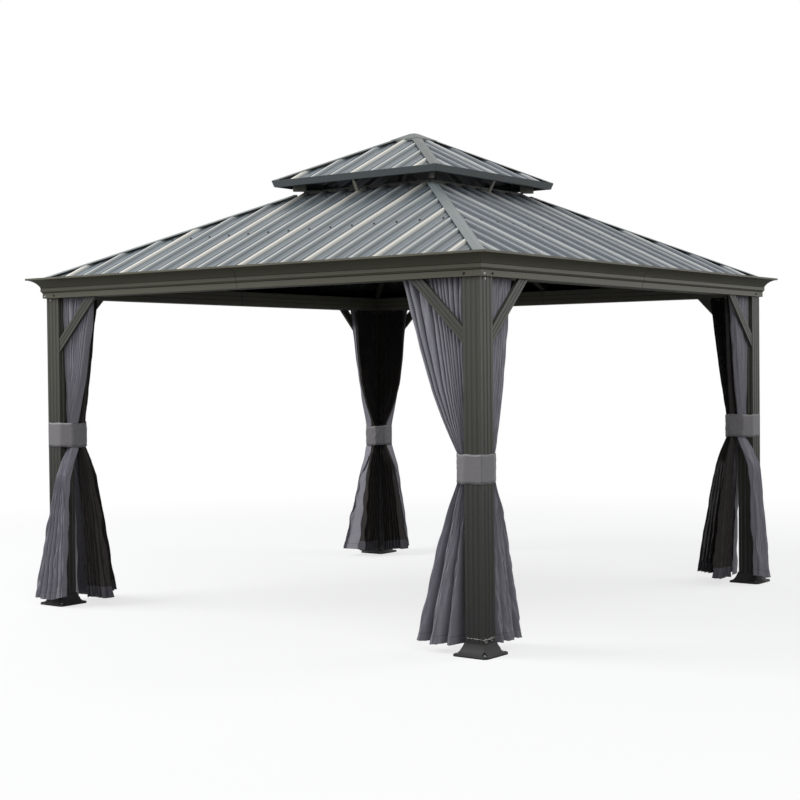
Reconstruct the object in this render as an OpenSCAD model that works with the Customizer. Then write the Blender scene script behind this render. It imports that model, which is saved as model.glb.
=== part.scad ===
// Square metal gazebo with a two-tier ribbed hip roof, curtains and netting.
// Millimetres, +Z up, origin on the ground under the middle of the roof.
// The front faces -Y. Sides run front, right, back, left, a quarter turn apart.

/* [Overall] */
// Width across the cornice tips, the same both ways
roof_span = 3650; // [3200:10:4200]
// Height of the underside of the beams
clear_height = 2008; // [1900:2:2300]
// Slope of the lower roof in degrees
lower_pitch = 25.5; // [21:0.1:28]
// Slope of the upper roof in degrees
upper_pitch = 26; // [20:0.5:28]

/* [Posts] */
// Width of a square post
post_w = 114; // [100:1:126]
// Wall of a post
post_wall = 4; // [2:0.5:6]
// How far the fascia stands proud of the posts
post_inset = 18; // [10:1:26]
// Radius of each flute
flute_r = 11; // [8:0.5:13]
// Depth of each flute
flute_depth = 3.5; // [1:0.5:5]
// Distance between the flutes of a face
flute_pitch = 32; // [28:0.5:34]

/* [Feet] */
// Width of a foot
foot_w = 224; // [200:1:250]
// Thickness of its flange
foot_flange_t = 8; // [5:1:12]
// Height of its flared apron
foot_h = 72; // [50:1:100]
// Wall of the apron's collar round the post
foot_collar = 6; // [4:0.5:10]
// Radius of its corners in plan
foot_corner_r = 26; // [15:1:30]
// Spacing of the anchor holes
anchor_spacing = 172; // [160:1:180]
// Radius of an anchor hole
anchor_r = 6; // [4:0.5:8]
// Radius of the seat round an anchor hole
anchor_seat_r = 14; // [11:0.5:16]

/* [Beams and cornice] */
// Height of the cornice
cornice_h = 130; // [120:1:145]
// How far the cornice tip stands out from the fascia
cornice_out = 79; // [70:1:90]
// Height of the flat fascia
fascia_h = 33; // [26:1:38]
// How far the bead stands out from the fascia
bead_out = 10; // [6:0.5:14]
// Height of the bead's lower edge
bead_bottom = 46; // [42:1:50]
// Height of the bead's upper edge
bead_top = 66; // [60:1:72]
// Width of the lip beyond the cove
lip_w = 7; // [5:0.5:10]
// Height of the lip
lip_h = 12; // [8:0.5:14]
// Thickness of the cornice skin and the beam's walls
skin = 4; // [3:0.5:6]
// Height of the beam's box
box_h = 100; // [95:1:105]
// Width of a curtain track
track_w = 10; // [7:0.5:14]
// Depth of a curtain track
track_d = 14; // [9:0.5:18]
// Length of a corner cover along each face
corner_cover_l = 58; // [45:1:70]
// Gap at the seam in the middle of each beam
seam = 3; // [1:0.5:5]

/* [Knee braces] */
// Reach of a brace along the beam and down the post
brace_leg = 355; // [260:5:400]
// Width of a brace
brace_w = 62; // [50:1:85]
// Thickness of a brace
brace_t = 19; // [12:0.5:21]
// How far a brace sits behind the post's face
brace_inset = 3; // [1:0.5:6]
// Width of the grooves in a brace
groove_w = 5; // [3:0.5:8]
// Depth of the grooves in a brace
groove_d = 2; // [1:0.5:4]

/* [Roof sheets] */
// Distance between ribs
rib_pitch = 170; // [150:1:200]
// Height of a rib
rib_h = 15; // [12:0.5:24]
// Width of a rib at its foot
rib_base = 64; // [50:1:76]
// Width of a rib at its top
rib_top = 20; // [12:1:40]
// Height of the small beads between ribs
swage_h = 2; // [1:0.5:4]
// Width of the small beads
swage_w = 12; // [8:1:18]
// Thickness of the sheet
sheet_t = 1.2; // [0.8:0.1:2]
// Clearance of the sheet over the gutter at the eave
eave_clear = 2; // [1:0.5:8]
// How far the sheet reaches past the fascia
eave_reach = 26; // [18:1:38]
// How far a hip cap reaches past the sheets at the eave
cap_overhang = 12; // [4:1:14]
// Sideways distance from a sheet's edge to the hip line
hip_gap = 20; // [19:0.5:26]
// Width of a lower hip cap
hip_cap_w = 68; // [56:1:90]
// Width of an upper hip cap
upper_cap_w = 68; // [56:1:90]
// Thickness of a hip cap
cap_t = 2.5; // [1.5:0.5:4]

/* [Roof frame] */
// Width of the rafters
rafter_w = 40; // [30:1:50]
// Depth of the rafters
rafter_d = 60; // [45:1:75]
// Width of the fin on a hip rafter
fin_w = 18; // [10:1:24]
// Width of the purlins
purlin_w = 40; // [25:1:50]
// Depth of the purlins
purlin_d = 30; // [20:1:40]
// Distance of the purlins from the middle of the roof
purlin_at = 1190; // [1000:10:1350]

/* [Vent] */
// Distance from the middle to the upper end of the lower hip caps
vent_half = 582; // [540:1:610]
// Width of the ring bars
ring_w = 40; // [30:1:50]
// Height of the ring bars
ring_h = 50; // [35:1:70]
// Height of the upstand on the ring
upstand_h = 38; // [30:1:44]
// Length of a corner strut along the hip
corner_strut_l = 88; // [70:1:110]
// Thickness of a corner strut
corner_strut_t = 25; // [15:0.5:27]
// Width of a middle strut
mid_strut_w = 20; // [12:1:22]
// Thickness of a middle strut
mid_strut_t = 10; // [6:0.5:12]

/* [Upper roof] */
// How far the upper eave reaches past the vent
upper_overhang = 102; // [85:1:125]
// Height of the open gap under the upper eave
vent_gap = 28.5; // [20:0.5:45]
// Height of the upper eave trim
trim_h = 42; // [36:1:46]
// How far the trim leans in at its foot
trim_lean = 13; // [6:1:18]
// Thickness of the trim
trim_t = 3; // [2:0.5:4]
// Width of the trim's return and flange
trim_return = 30; // [26:1:34]
// Width of the upper rafters
upper_rafter_w = 30; // [22:1:36]
// Depth of the upper rafters
upper_rafter_d = 30; // [22:1:36]
// Half-width of the top cap
top_cap_half = 114; // [95:1:140]
// Height of the top cap's skirt
top_cap_skirt = 16; // [8:1:20]
// Width of the flat on top of the top cap
top_cap_flat = 44; // [24:1:60]

/* [Curtains and netting] */
// Height of the hems above the ground
hem_z = 35; // [25:1:60]
// Height of a tie-back
tie_h = 160; // [120:1:180]
// Middle height of the front right tie-back
tie_z_front_right = 990; // [900:5:1200]
// Middle height of the back right tie-back
tie_z_back_right = 1105; // [900:5:1200]
// Middle height of the back left tie-back
tie_z_back_left = 980; // [900:5:1200]
// Middle height of the front left tie-back
tie_z_front_left = 1115; // [900:5:1200]
// Thickness of a tie-back
tie_t = 2; // [1:0.25:3]
// Reach from the post's middle of the longest curtain leaf at the beam
curtain_long_reach = 478; // [420:2:500]
// Reach of the three fuller leaves at the beam
curtain_full_reach = 345; // [300:5:420]
// Reach of the other curtain leaves at the beam
curtain_short_reach = 290; // [250:5:350]
// Reach of a curtain leaf at the hem
curtain_hem_reach = 360; // [300:5:450]
// How far the two outswung curtain leaves pass the post's middle at the hem
curtain_outswing = 148; // [100:1:150]
// Reach of a netting leaf at the beam
net_top_reach = 330; // [290:5:400]
// Reach of the slim netting leaves at the beam
net_slim_reach = 285; // [240:5:330]
// Reach of a netting leaf at the hem
net_hem_reach = 360; // [320:5:460]

/* [Hidden] */
CORNERS = ["front_right", "back_right", "back_left", "front_left"];
SIDES = ["front", "right", "back", "left"];
CORNER_PIECES = ["post", "foot", "corner_cover", "braces", "curtain", "net", "tie_back"];
SIDE_PIECES = ["beam", "lower_roof", "upper_roof"];
SINGLE_PIECES = ["lower_hip_caps", "hip_rafters", "side_rafters", "purlins", "vent_ring", "vent_struts",
                 "upper_eave_trim", "upper_rafters", "upper_hip_caps", "top_cap"];

frame_grey = [0.29, 0.29, 0.26];
sheet_grey = [0.52, 0.56, 0.60];
cloth_grey = [0.40, 0.39, 0.42];
net_black = [0.11, 0.10, 0.11];

// Clearance between pieces that seat on each other
seat = 0.3;
// Height of a block that is taller than the whole gazebo
tall = 5000;

// Setback of the ring's outer face from the upper end of the hip caps
ring_setback = 14;
// Lap of the lower sheets over the ring
head_lap = 24;
// Setback of the rafter tails from the fascia
tail_setback = 10;
// Setback of the lower hip caps' heads from the ring
cap_head_gap = 4;
// Setbacks of the hip caps and the upper sheets from the upper eave
upper_cap_setback = 4;
upper_sheet_setback = 6;

// Plan distances from the middle of the roof
half = roof_span / 2;
fascia = half - cornice_out;
post_out = fascia - post_inset;
post_mid = post_out - post_w / 2;
beam_inner = post_out - post_w;
sheet_eave = fascia + eave_reach;
ring_half = vent_half - ring_setback;
sheet_head = ring_half - head_lap;
upper_half = vent_half + upper_overhang;

// Heights
beam_top = clear_height + box_h;
lower_slope = tan(lower_pitch);
upper_slope = tan(upper_pitch);

// Cornice and beam outline: x is measured out from the fascia, y up from the beam's underside
cove_foot = [bead_out - 1.5, bead_top];
cove_head = [cornice_out - lip_w, cornice_h - lip_h];
cove_mid = cove_centre(cove_foot, cove_head);
cove_r = norm(cove_head - cove_foot);
gutter_r = cove_r + skin;
cove_from = atan2(cove_foot.y - cove_mid.y, cove_foot.x - cove_mid.x);
cove_to = atan2(cove_head.y - cove_mid.y, cove_head.x - cove_mid.x);
box_out = bead_out - 2;
gutter_from = acos((box_out - cove_mid.x) / gutter_r);
cove_steps = 10;

// Height of the gutter's upper face above the beam's underside
function gutter_y(x) = cove_mid.y + sqrt(gutter_r * gutter_r - pow(x - cove_mid.x, 2));

// Rise from a pan's underside to the top of the ribs, measured upright
lower_rib_rise = (rib_h + sheet_t) / cos(lower_pitch);
upper_rib_rise = (rib_h + sheet_t) / cos(upper_pitch);

// Drop of the upper sheets, so that their ribs end behind the trim
rib_cover = 2;
upper_drop = upper_rib_rise + rib_cover;

// Height of the underside of each roof's pans at a plan distance from the middle
sheet_eave_z = clear_height + gutter_y(eave_reach) + eave_clear;
function pan_z(c) = sheet_eave_z + (sheet_eave - c) * lower_slope;
ring_top = pan_z(ring_half) - seat;
upper_eave_z = ring_top + upstand_h + vent_gap + trim_h;
function upper_pan_z(c) = upper_eave_z - upper_drop + (upper_half - c) * upper_slope;

// Drop from the hip line to the flat top of a rafter of width w under it
function hip_drop(w, slope) = w / 2 / sqrt(2) * slope + seat;

// Place a piece that is drawn for the front, or for the front right corner
module at_side(k) { rotate([0, 0, 90 * k]) children(); }

// Corner frame: origin at the post's middle, +X and +Y pointing inwards along the two beams
module at_post(k) {
    rotate([0, 0, 90 * k]) translate([post_mid, -post_mid, 0]) rotate([0, 0, 90]) children();
}

// Run an outline of (y, z) points along X
module along_x(x0, x1) { translate([x0, 0, 0]) rotate([90, 0, 90]) linear_extrude(x1 - x0) children(); }

// Run an outline of (distance, z) points on the front right diagonal, w thick
module on_diagonal(w) {
    rotate([0, 0, -45]) rotate([90, 0, 0]) translate([0, 0, -w / 2]) linear_extrude(w) children();
}

// Upright block over the front quarter of the plan, g short of the hip lines sideways
module front_wedge(g) {
    linear_extrude(tall) polygon([[0, -g], [tall, -tall - g], [-tall, -tall - g]]);
}

module square_block(h) { translate([-h, -h, 0]) cube([2 * h, 2 * h, tall]); }

// Centre of a 60 degree arc between two points, and points of an arc
function cove_centre(a, b) = a + [(b - a).x / 2 + (b - a).y * sin(60), (b - a).y / 2 - (b - a).x * sin(60)];
function arc_points(c, r, from, to, steps) =
    [for (i = [0:steps]) let (t = from + (to - from) * i / steps) c + r * [cos(t), sin(t)]];

// Height of the eave plate's top, close under the pans
function plate_y(x) = pan_z(fascia + x) - clear_height - seat;

// Fascia, bead, cove, lip and gutter, then the eave plate and the top of the box
function beam_outline() = concat(
    [[beam_inner - fascia, 0], [0, 0], [0, fascia_h], [bead_out, bead_bottom], [bead_out, bead_top]],
    arc_points(cove_mid, cove_r, cove_from, cove_to, cove_steps),
    [[cornice_out, cornice_h - lip_h], [cornice_out, cornice_h], [cornice_out - skin, cornice_h],
     [cornice_out - skin, cornice_h - lip_h + skin]],
    arc_points(cove_mid, gutter_r, cove_to, gutter_from, cove_steps),
    [[box_out, plate_y(box_out)], [0, plate_y(0)], [0, box_h], [beam_inner - fascia, box_h]]);

// The same outline placed at the front
function at_front(points) = [for (p = points) [-(fascia + p.x), clear_height + p.y]];

// Tracks under the beam, measured inwards from the post's middle
curtain_track = -5;
net_track = 40;

module beam_section() {
    track_x = -post_mid;
    difference() {
        polygon(at_front(beam_outline()));
        for (track = [curtain_track, net_track])
            translate([track_x + track - track_w / 2, clear_height - 1]) square([track_w, track_d + 1]);
        translate([-fascia + skin, clear_height + track_d + skin])
            square([fascia - beam_inner - 2 * skin, box_h - track_d - 2 * skin]);
    }
}

module beam_half() {
    intersection() {
        along_x(seam / 2, fascia - corner_cover_l) beam_section();
        front_wedge(seat);
    }
}

module beam(k) {
    color(frame_grey) at_side(k) {
        beam_half();
        mirror([1, 0, 0]) beam_half();
    }
}

module corner_cover_stub() {
    intersection() {
        along_x(fascia - corner_cover_l + seat, half) polygon(at_front(beam_outline()));
        front_wedge(0);
    }
}

module corner_cover(k) {
    color(frame_grey) at_side(k) {
        corner_cover_stub();
        mirror([1, 1, 0]) corner_cover_stub();
    }
}

// Fluted square tube that stands on the foot's flange and carries the beams
module post_section() {
    difference() {
        square(post_w, center = true);
        for (turn = [0:3], i = [-1:1])
            rotate(90 * turn) translate([post_w / 2 + flute_r - flute_depth, i * flute_pitch])
                circle(flute_r, $fn = 48);
        square(post_w - 2 * (post_wall + flute_depth), center = true);
    }
}

module post(k) {
    color(frame_grey) at_post(k) translate([0, 0, foot_flange_t])
        linear_extrude(clear_height - foot_flange_t) post_section();
}

// Flared foot: the same concave outline crossed both ways, with rounded corners
flare_foot = [foot_w / 2, foot_flange_t];
flare_head = [post_w / 2 + foot_collar, foot_h - foot_collar];
flare_bow = 7;
flare_steps = 8;
function flare(side) = [for (i = [0:flare_steps])
    let (t = i / flare_steps, bow = flare_bow * sin(180 * t))
    [side * (flare_foot.x + (flare_head.x - flare_foot.x) * t - bow),
     flare_foot.y + (flare_head.y - flare_foot.y) * t - bow]];

module foot_outline() {
    right = concat([[foot_w / 2, 0]], flare(1), [[flare_head.x, foot_h]]);
    left = concat([[-foot_w / 2, 0]], flare(-1), [[-flare_head.x, foot_h]]);
    polygon(concat(right, [for (i = [len(left) - 1:-1:0]) left[i]]));
}

module foot_plan() {
    straight = foot_w - 2 * foot_corner_r;
    square([foot_w, straight], center = true);
    square([straight, foot_w], center = true);
    for (x = [-1, 1], y = [-1, 1])
        translate([x * straight / 2, y * straight / 2]) circle(foot_corner_r, $fn = 64);
}

module foot(k) {
    socket = post_w + 2 * seat;
    color(frame_grey) at_post(k) difference() {
        intersection() {
            along_x(-foot_w, foot_w) foot_outline();
            rotate([0, 0, 90]) along_x(-foot_w, foot_w) foot_outline();
            linear_extrude(foot_h) foot_plan();
        }
        translate([-socket / 2, -socket / 2, foot_flange_t]) cube([socket, socket, foot_h]);
        for (x = [-1, 1], y = [-1, 1]) translate([x, y, 0] * anchor_spacing / 2) {
            translate([0, 0, -1]) cylinder(h = foot_h, r = anchor_r, $fn = 48);
            translate([0, 0, foot_flange_t]) cylinder(h = foot_h, r = anchor_seat_r, $fn = 48);
        }
    }
}

// Grooved flat bar from the post up to the beam, drawn in the corner frame along +X
brace_y = -post_w / 2 + brace_inset;

module brace() {
    x0 = post_w / 2;
    inner_leg = brace_leg - brace_w * sqrt(2);
    difference() {
        translate([0, brace_y + brace_t, 0]) rotate([90, 0, 0]) linear_extrude(brace_t)
            polygon([[x0, clear_height - brace_leg], [x0 + brace_leg, clear_height],
                     [x0 + inner_leg, clear_height], [x0, clear_height - inner_leg]]);
        for (share = [1 / 3, 2 / 3])
            translate([x0, brace_y, clear_height - inner_leg - (brace_leg - inner_leg) * share])
                rotate([0, -45, 0]) translate([-brace_leg, -1, -groove_w / 2])
                    cube([3 * brace_leg, groove_d + 1, groove_w]);
    }
}

module braces(k) {
    color(frame_grey) at_post(k) {
        brace();
        mirror([1, -1, 0]) brace();
    }
}

// Ribbed sheet outline across the slope: ribs on the pitch, two low swages between them
function rib_points(x) =
    [[x - rib_base / 2, 0], [x - rib_top / 2, rib_h], [x + rib_top / 2, rib_h], [x + rib_base / 2, 0]];
function swage_points(x) =
    [[x - swage_w / 2, 0], [x - swage_w / 4, swage_h], [x + swage_w / 4, swage_h], [x + swage_w / 2, 0]];
swage_at = [0.42, 0.58];
function sheet_line(ribs) = [for (i = [-ribs:ribs]) let (x = i * rib_pitch)
    each concat(rib_points(x), [for (share = swage_at) each swage_points(x + rib_pitch * share)])];

module ribbed_sheet(ribs, length) {
    line = sheet_line(ribs);
    top = [for (p = line) p + [0, sheet_t]];
    translate([0, length, 0]) rotate([90, 0, 0]) linear_extrude(length)
        polygon(concat(top, [for (i = [len(line) - 1:-1:0]) line[i]]));
}

// Sheet on the front slope between two plan distances, cut short of the hips
module roof_sheet(from, to, from_z, pitch, gap) {
    ribs = ceil(from / rib_pitch) + 1;
    intersection() {
        translate([0, -from, from_z]) rotate([pitch, 0, 0]) translate([0, -rib_h, 0])
            ribbed_sheet(ribs, (from - to) / cos(pitch) + 2 * rib_h);
        difference() {
            front_wedge(gap);
            square_block(to);
        }
        square_block(from);
    }
}

module lower_roof(k) {
    color(sheet_grey) at_side(k) roof_sheet(sheet_eave, sheet_head, pan_z(sheet_eave), lower_pitch, hip_gap);
}

upper_sheet_eave = upper_half - upper_sheet_setback;
upper_sheet_head = 46;

module upper_roof(k) {
    color(sheet_grey) at_side(k)
        roof_sheet(upper_sheet_eave, upper_sheet_head, upper_pan_z(upper_sheet_eave), upper_pitch, hip_gap);
}

// Folded cap on the front right hip, lying on the rib tops from one plan distance to another
module hip_cap(from, to, top_z, slope, w) {
    hip_angle = atan(slope / sqrt(2));
    wing = w / 2;
    fold = wing * slope / sqrt(2) * cos(hip_angle);
    length = (from - to) * sqrt(2) / cos(hip_angle);
    intersection() {
        rotate([0, 0, -45]) translate([from * sqrt(2), 0, top_z]) rotate([0, hip_angle, 0])
            translate([-length - w, 0, 0]) rotate([90, 0, 90]) linear_extrude(length + 2 * w)
                polygon([[-wing, -fold], [0, 0], [wing, -fold],
                         [wing, cap_t - fold], [0, cap_t], [-wing, cap_t - fold]]);
        difference() {
            square_block(from);
            rotate([0, 0, -45]) translate([-tall, -tall / 2, 0]) cube([tall + to * sqrt(2), tall, tall]);
        }
    }
}

lower_cap_eave = sheet_eave + cap_overhang;

module lower_hip_caps() {
    color(sheet_grey) for (k = [0:3]) at_side(k)
        hip_cap(lower_cap_eave, ring_half + cap_head_gap, pan_z(lower_cap_eave) + lower_rib_rise + seat,
                lower_slope, hip_cap_w);
}

upper_cap_eave = upper_half - upper_cap_setback;
upper_cap_head = 70;

module upper_hip_caps() {
    color(sheet_grey) for (k = [0:3]) at_side(k)
        hip_cap(upper_cap_eave, upper_cap_head, upper_pan_z(upper_cap_eave) + upper_rib_rise + seat,
                upper_slope, upper_cap_w);
}

// Height of a fin of width w under a hip cap, above the hip line of the pans
function fin_rise(w, rib_rise, slope) = rib_rise - w / 2 / sqrt(2) * slope;

// Rafter under each hip, cut level where it sits on the beams and notched round the ring,
// with a fin between the sheets that the hip cap is fixed to
module hip_rafter() {
    drop = hip_drop(rafter_w, lower_slope);
    deep = rafter_d / cos(lower_pitch);
    out = fascia - tail_setback;
    in = ring_half - rafter_w;
    sole = sheet_eave - (beam_top + drop + deep - sheet_eave_z) / lower_slope;
    fin = fin_rise(fin_w, lower_rib_rise, lower_slope);
    difference() {
        union() {
            on_diagonal(rafter_w) polygon([
                [out * sqrt(2), beam_top], [out * sqrt(2), pan_z(out) - drop],
                [in * sqrt(2), pan_z(in) - drop], [in * sqrt(2), pan_z(in) - drop - deep],
                [sole * sqrt(2), beam_top]]);
            on_diagonal(fin_w) polygon([
                [out * sqrt(2), pan_z(out) - drop - 1], [out * sqrt(2), pan_z(out) + fin],
                [in * sqrt(2), pan_z(in) + fin], [in * sqrt(2), pan_z(in) - drop - 1]]);
        }
        square_block(ring_half + seat);
    }
}

module hip_rafters() { color(frame_grey) for (k = [0:3]) at_side(k) hip_rafter(); }

// Rafter up the middle of each side
module side_rafter() {
    drop = seat / cos(lower_pitch);
    deep = rafter_d / cos(lower_pitch);
    out = fascia - tail_setback;
    in = ring_half + seat;
    sole = sheet_eave - (beam_top + drop + deep - sheet_eave_z) / lower_slope;
    along_x(-rafter_w / 2, rafter_w / 2) polygon([
        [-out, beam_top], [-out, pan_z(out) - drop], [-in, pan_z(in) - drop],
        [-in, pan_z(in) - drop - deep], [-sole, beam_top]]);
}

module side_rafters() { color(frame_grey) for (k = [0:3]) at_side(k) side_rafter(); }

// Purlin between the side rafter and the hip rafter
module purlin() {
    intersection() {
        translate([0, -purlin_at, pan_z(purlin_at)]) rotate([lower_pitch, 0, 0])
            translate([rafter_w / 2 + seat, -purlin_w / 2, -purlin_d - seat])
                cube([half, purlin_w, purlin_d]);
        front_wedge((rafter_w / 2 + seat) * sqrt(2));
    }
}

module purlins() {
    color(frame_grey) for (k = [0:3]) at_side(k) {
        purlin();
        mirror([1, 0, 0]) purlin();
    }
}

// Mitred ring bars at the head of the lower roof, each with an upstand on its inner edge
module vent_ring() {
    ring_in = ring_half - ring_w;
    color(frame_grey) for (k = [0:3]) at_side(k) intersection() {
        along_x(-ring_half, ring_half) polygon([
            [-ring_half, ring_top - ring_h], [-ring_half, ring_top], [-ring_in - skin, ring_top],
            [-ring_in - skin, ring_top + upstand_h], [-ring_in, ring_top + upstand_h],
            [-ring_in, ring_top - ring_h]]);
        front_wedge(seat);
    }
}

// Trim outline at the front: leaning face with a lip, a flange under the sheet and a return at the foot
flange_out = upper_half - tail_setback;
trim_foot = upper_half - trim_lean;
trim_inner = flange_out - trim_return;
trim_foot_z = upper_eave_z - trim_h;
function trim_lean_at(z) = trim_foot + trim_lean * (z - trim_foot_z) / trim_h;

module trim_section() {
    flange_z = upper_pan_z(flange_out) - seat;
    inner_z = upper_pan_z(trim_inner) - seat;
    points = [
        [trim_foot, trim_foot_z], [upper_half, upper_eave_z], [upper_half - trim_t, upper_eave_z],
        [trim_lean_at(flange_z) - trim_t, flange_z], [flange_out, flange_z], [trim_inner, inner_z],
        [trim_inner, inner_z - trim_t], [flange_out - trim_t, flange_z - trim_t],
        [trim_foot - trim_t + trim_lean / 4, trim_foot_z + trim_t], [trim_inner, trim_foot_z + trim_t],
        [trim_inner, trim_foot_z]];
    polygon([for (p = points) [-p.x, p.y]]);
}

module upper_eave_trim() {
    color(frame_grey) for (k = [0:3]) at_side(k) intersection() {
        along_x(-upper_half, upper_half) trim_section();
        front_wedge(seat / 2);
    }
}

// Upper hip rafters, each with a fin under its hip cap, round a square hub under the peak
hub_half = 24;
hub_at = (hub_half + seat) / sqrt(2);
hub_drop = 8;
upper_hip_drop = hip_drop(upper_rafter_w, upper_slope);
upper_rafter_deep = upper_rafter_d / cos(upper_pitch);
function upper_rafter_top(c) = upper_pan_z(c) - upper_hip_drop;
function upper_rafter_sole(c) = upper_rafter_top(c) - upper_rafter_deep;

module upper_rafter() {
    out = upper_half;
    fin = fin_rise(fin_w, upper_rib_rise, upper_slope);
    fin_at = max(hub_at, top_cap_flat / 2);
    on_diagonal(upper_rafter_w) polygon([
        [hub_at * sqrt(2), upper_rafter_sole(hub_at)], [out * sqrt(2), upper_rafter_sole(out)],
        [out * sqrt(2), upper_rafter_top(out)], [hub_at * sqrt(2), upper_rafter_top(hub_at)]]);
    on_diagonal(fin_w) polygon([
        [fin_at * sqrt(2), upper_rafter_top(fin_at) - 1], [out * sqrt(2), upper_rafter_top(out) - 1],
        [out * sqrt(2), upper_pan_z(out) + fin], [fin_at * sqrt(2), upper_pan_z(fin_at) + fin]]);
}

module upper_rafters() {
    hub_sole = upper_rafter_sole(hub_at) - hub_drop;
    color(frame_grey) {
        intersection() {
            for (k = [0:3]) at_side(k) upper_rafter();
            square_block(trim_inner - seat);
        }
        rotate([0, 0, 45]) translate([-hub_half, -hub_half, hub_sole])
            cube([2 * hub_half, 2 * hub_half, upper_rafter_top(hub_at) - hub_sole]);
    }
}

// Diagonal struts on the ring's corners and slanted struts at the middle of each side
module corner_strut() {
    out = vent_half;
    in = vent_half - corner_strut_l / sqrt(2);
    on_diagonal(corner_strut_t) polygon([
        [in * sqrt(2), ring_top + upstand_h], [out * sqrt(2), ring_top + upstand_h],
        [out * sqrt(2), upper_rafter_sole(out) - seat], [in * sqrt(2), upper_rafter_sole(in) - seat]]);
}

strut_foot_out = 26;
strut_head_lap = 6;

module mid_strut() {
    foot_at = vent_half + strut_foot_out;
    head_at = trim_inner + strut_head_lap;
    head_z = trim_foot_z - seat;
    function foot_z(c) = pan_z(c) + lower_rib_rise + seat;
    along_x(-mid_strut_w / 2, mid_strut_w / 2) polygon([
        [-foot_at, foot_z(foot_at)], [-foot_at - mid_strut_t, foot_z(foot_at + mid_strut_t)],
        [-head_at - mid_strut_t, head_z], [-head_at, head_z]]);
}

module vent_struts() {
    color(frame_grey) for (k = [0:3]) at_side(k) {
        corner_strut();
        mid_strut();
    }
}

// Square pyramid of plan half-width h, with a flat top and an upright skirt
module pyramid(h, eave, peak, flat, skirt) {
    outline = [[-h, eave - skirt], [-h, eave], [-flat / 2, peak],
               [flat / 2, peak], [h, eave], [h, eave - skirt]];
    intersection() {
        along_x(-h, h) polygon(outline);
        rotate([0, 0, 90]) along_x(-h, h) polygon(outline);
    }
}

module top_cap() {
    under = upper_rib_rise + (cap_t + seat) / cos(upper_pitch) + seat;
    eave = upper_pan_z(top_cap_half) + under;
    inner_half = top_cap_half - cap_t;
    inner_eave = upper_pan_z(inner_half) + under;
    flat_rise = top_cap_flat / 2 * upper_slope;
    peak = upper_pan_z(0) + under - flat_rise;
    color(sheet_grey) difference() {
        pyramid(top_cap_half, eave + cap_t, peak + cap_t, top_cap_flat, top_cap_skirt);
        translate([0, 0, -1])
            pyramid(inner_half, inner_eave + 1, peak + 1, top_cap_flat, top_cap_skirt + 2 * cap_t);
    }
}

// Curtain and netting leaves, drawn in the corner frame along +X and mirrored for the other beam
TIE_HEIGHTS = [tie_z_front_right, tie_z_back_right, tie_z_back_left, tie_z_front_left];
leaf_top = clear_height - seat;
leaf_points = 16;
leaf_gap = 2;
tie_reach = post_w / 2 + 75;
net_tie_reach = tie_reach + 6;

leaf_face = post_w / 2 + leaf_gap;

// Edges of the leaves at the beam, the shoulder, the tie-back, the knee and the hem:
// near and far along the beam, then outer and inner across it
shoulder_share = 0.35;
knee_share = 0.2;
brace_back = brace_y + brace_t + 1;
curtain_near = [leaf_face, leaf_face, leaf_face, leaf_face + 12, foot_w / 2 + 3 * leaf_gap];
curtain_outer = [brace_back, brace_back, -25, -40, -110];
curtain_inner = [22, 42, post_w / 2 - 5, 50, 46];
curtain_far_long = [curtain_long_reach, 303, tie_reach, 210, curtain_hem_reach];
curtain_far_full = [curtain_full_reach, 230, tie_reach, 190, curtain_hem_reach];
curtain_far_short = [curtain_short_reach, 205, tie_reach, 190, curtain_hem_reach];
net_near = [leaf_face + 4, leaf_face + 26, leaf_face + 34, leaf_face + 45, foot_w / 2 + 38];
net_far = [net_top_reach, 255, net_tie_reach, 235, net_hem_reach];
net_far_full = [net_top_reach, 300, net_tie_reach, 235, net_hem_reach];
net_far_slim = [net_slim_reach, 195, net_tie_reach, 235, net_hem_reach];
net_outer = [28, 50, post_w / 2 + 1, post_w / 2 + 1, post_w / 2];
net_inner = [post_w / 2 - 3, 77, leaf_face + 26, leaf_face + 37, foot_w / 2 + 28];

// Below the tie-back an outswung leaf passes round the outside of the post and its foot
swung_near = [leaf_face, leaf_face, leaf_face, leaf_face, -curtain_outswing];
swung_outer = [brace_back, brace_back, -25, -118, -150];
swung_inner = [22, 42, post_w / 2 - 5, -post_w / 2 - 5, -88];
swung_hem_far = 160;
swung_far_full = [curtain_full_reach, 230, tie_reach, 170, swung_hem_far];
swung_far_short = [curtain_short_reach, 205, tie_reach, 170, swung_hem_far];

long_edges = [curtain_near, curtain_far_long, curtain_outer, curtain_inner];
short_edges = [curtain_near, curtain_far_short, curtain_outer, curtain_inner];
full_edges = [curtain_near, curtain_far_full, curtain_outer, curtain_inner];
swung_full_edges = [swung_near, swung_far_full, swung_outer, swung_inner];
swung_short_edges = [swung_near, swung_far_short, swung_outer, swung_inner];
net_edges = [net_near, net_far, net_outer, net_inner];
net_full_edges = [net_near, net_far_full, net_outer, net_inner];
net_slim_edges = [net_near, net_far_slim, net_outer, net_inner];

// Heights of the hem, the knee, the tie-back's edges, the shoulder and the beam
function leaf_levels(tie) =
    let (upper = tie + tie_h / 2, lower = tie - tie_h / 2)
    [hem_z, lower - (lower - hem_z) * knee_share, lower, upper,
     upper + (leaf_top - upper) * shoulder_share, leaf_top];

// Value of an edge at height z
function leaf_edge(z, tie, edge) =
    let (levels = leaf_levels(tie), values = [edge[4], edge[3], edge[2], edge[2], edge[1], edge[0]])
    lookup(z, [for (i = [0:len(levels) - 1]) [levels[i], values[i]]]);

function leaf_box(z, tie, edges) = [for (edge = edges) leaf_edge(z, tie, edge)];

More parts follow.
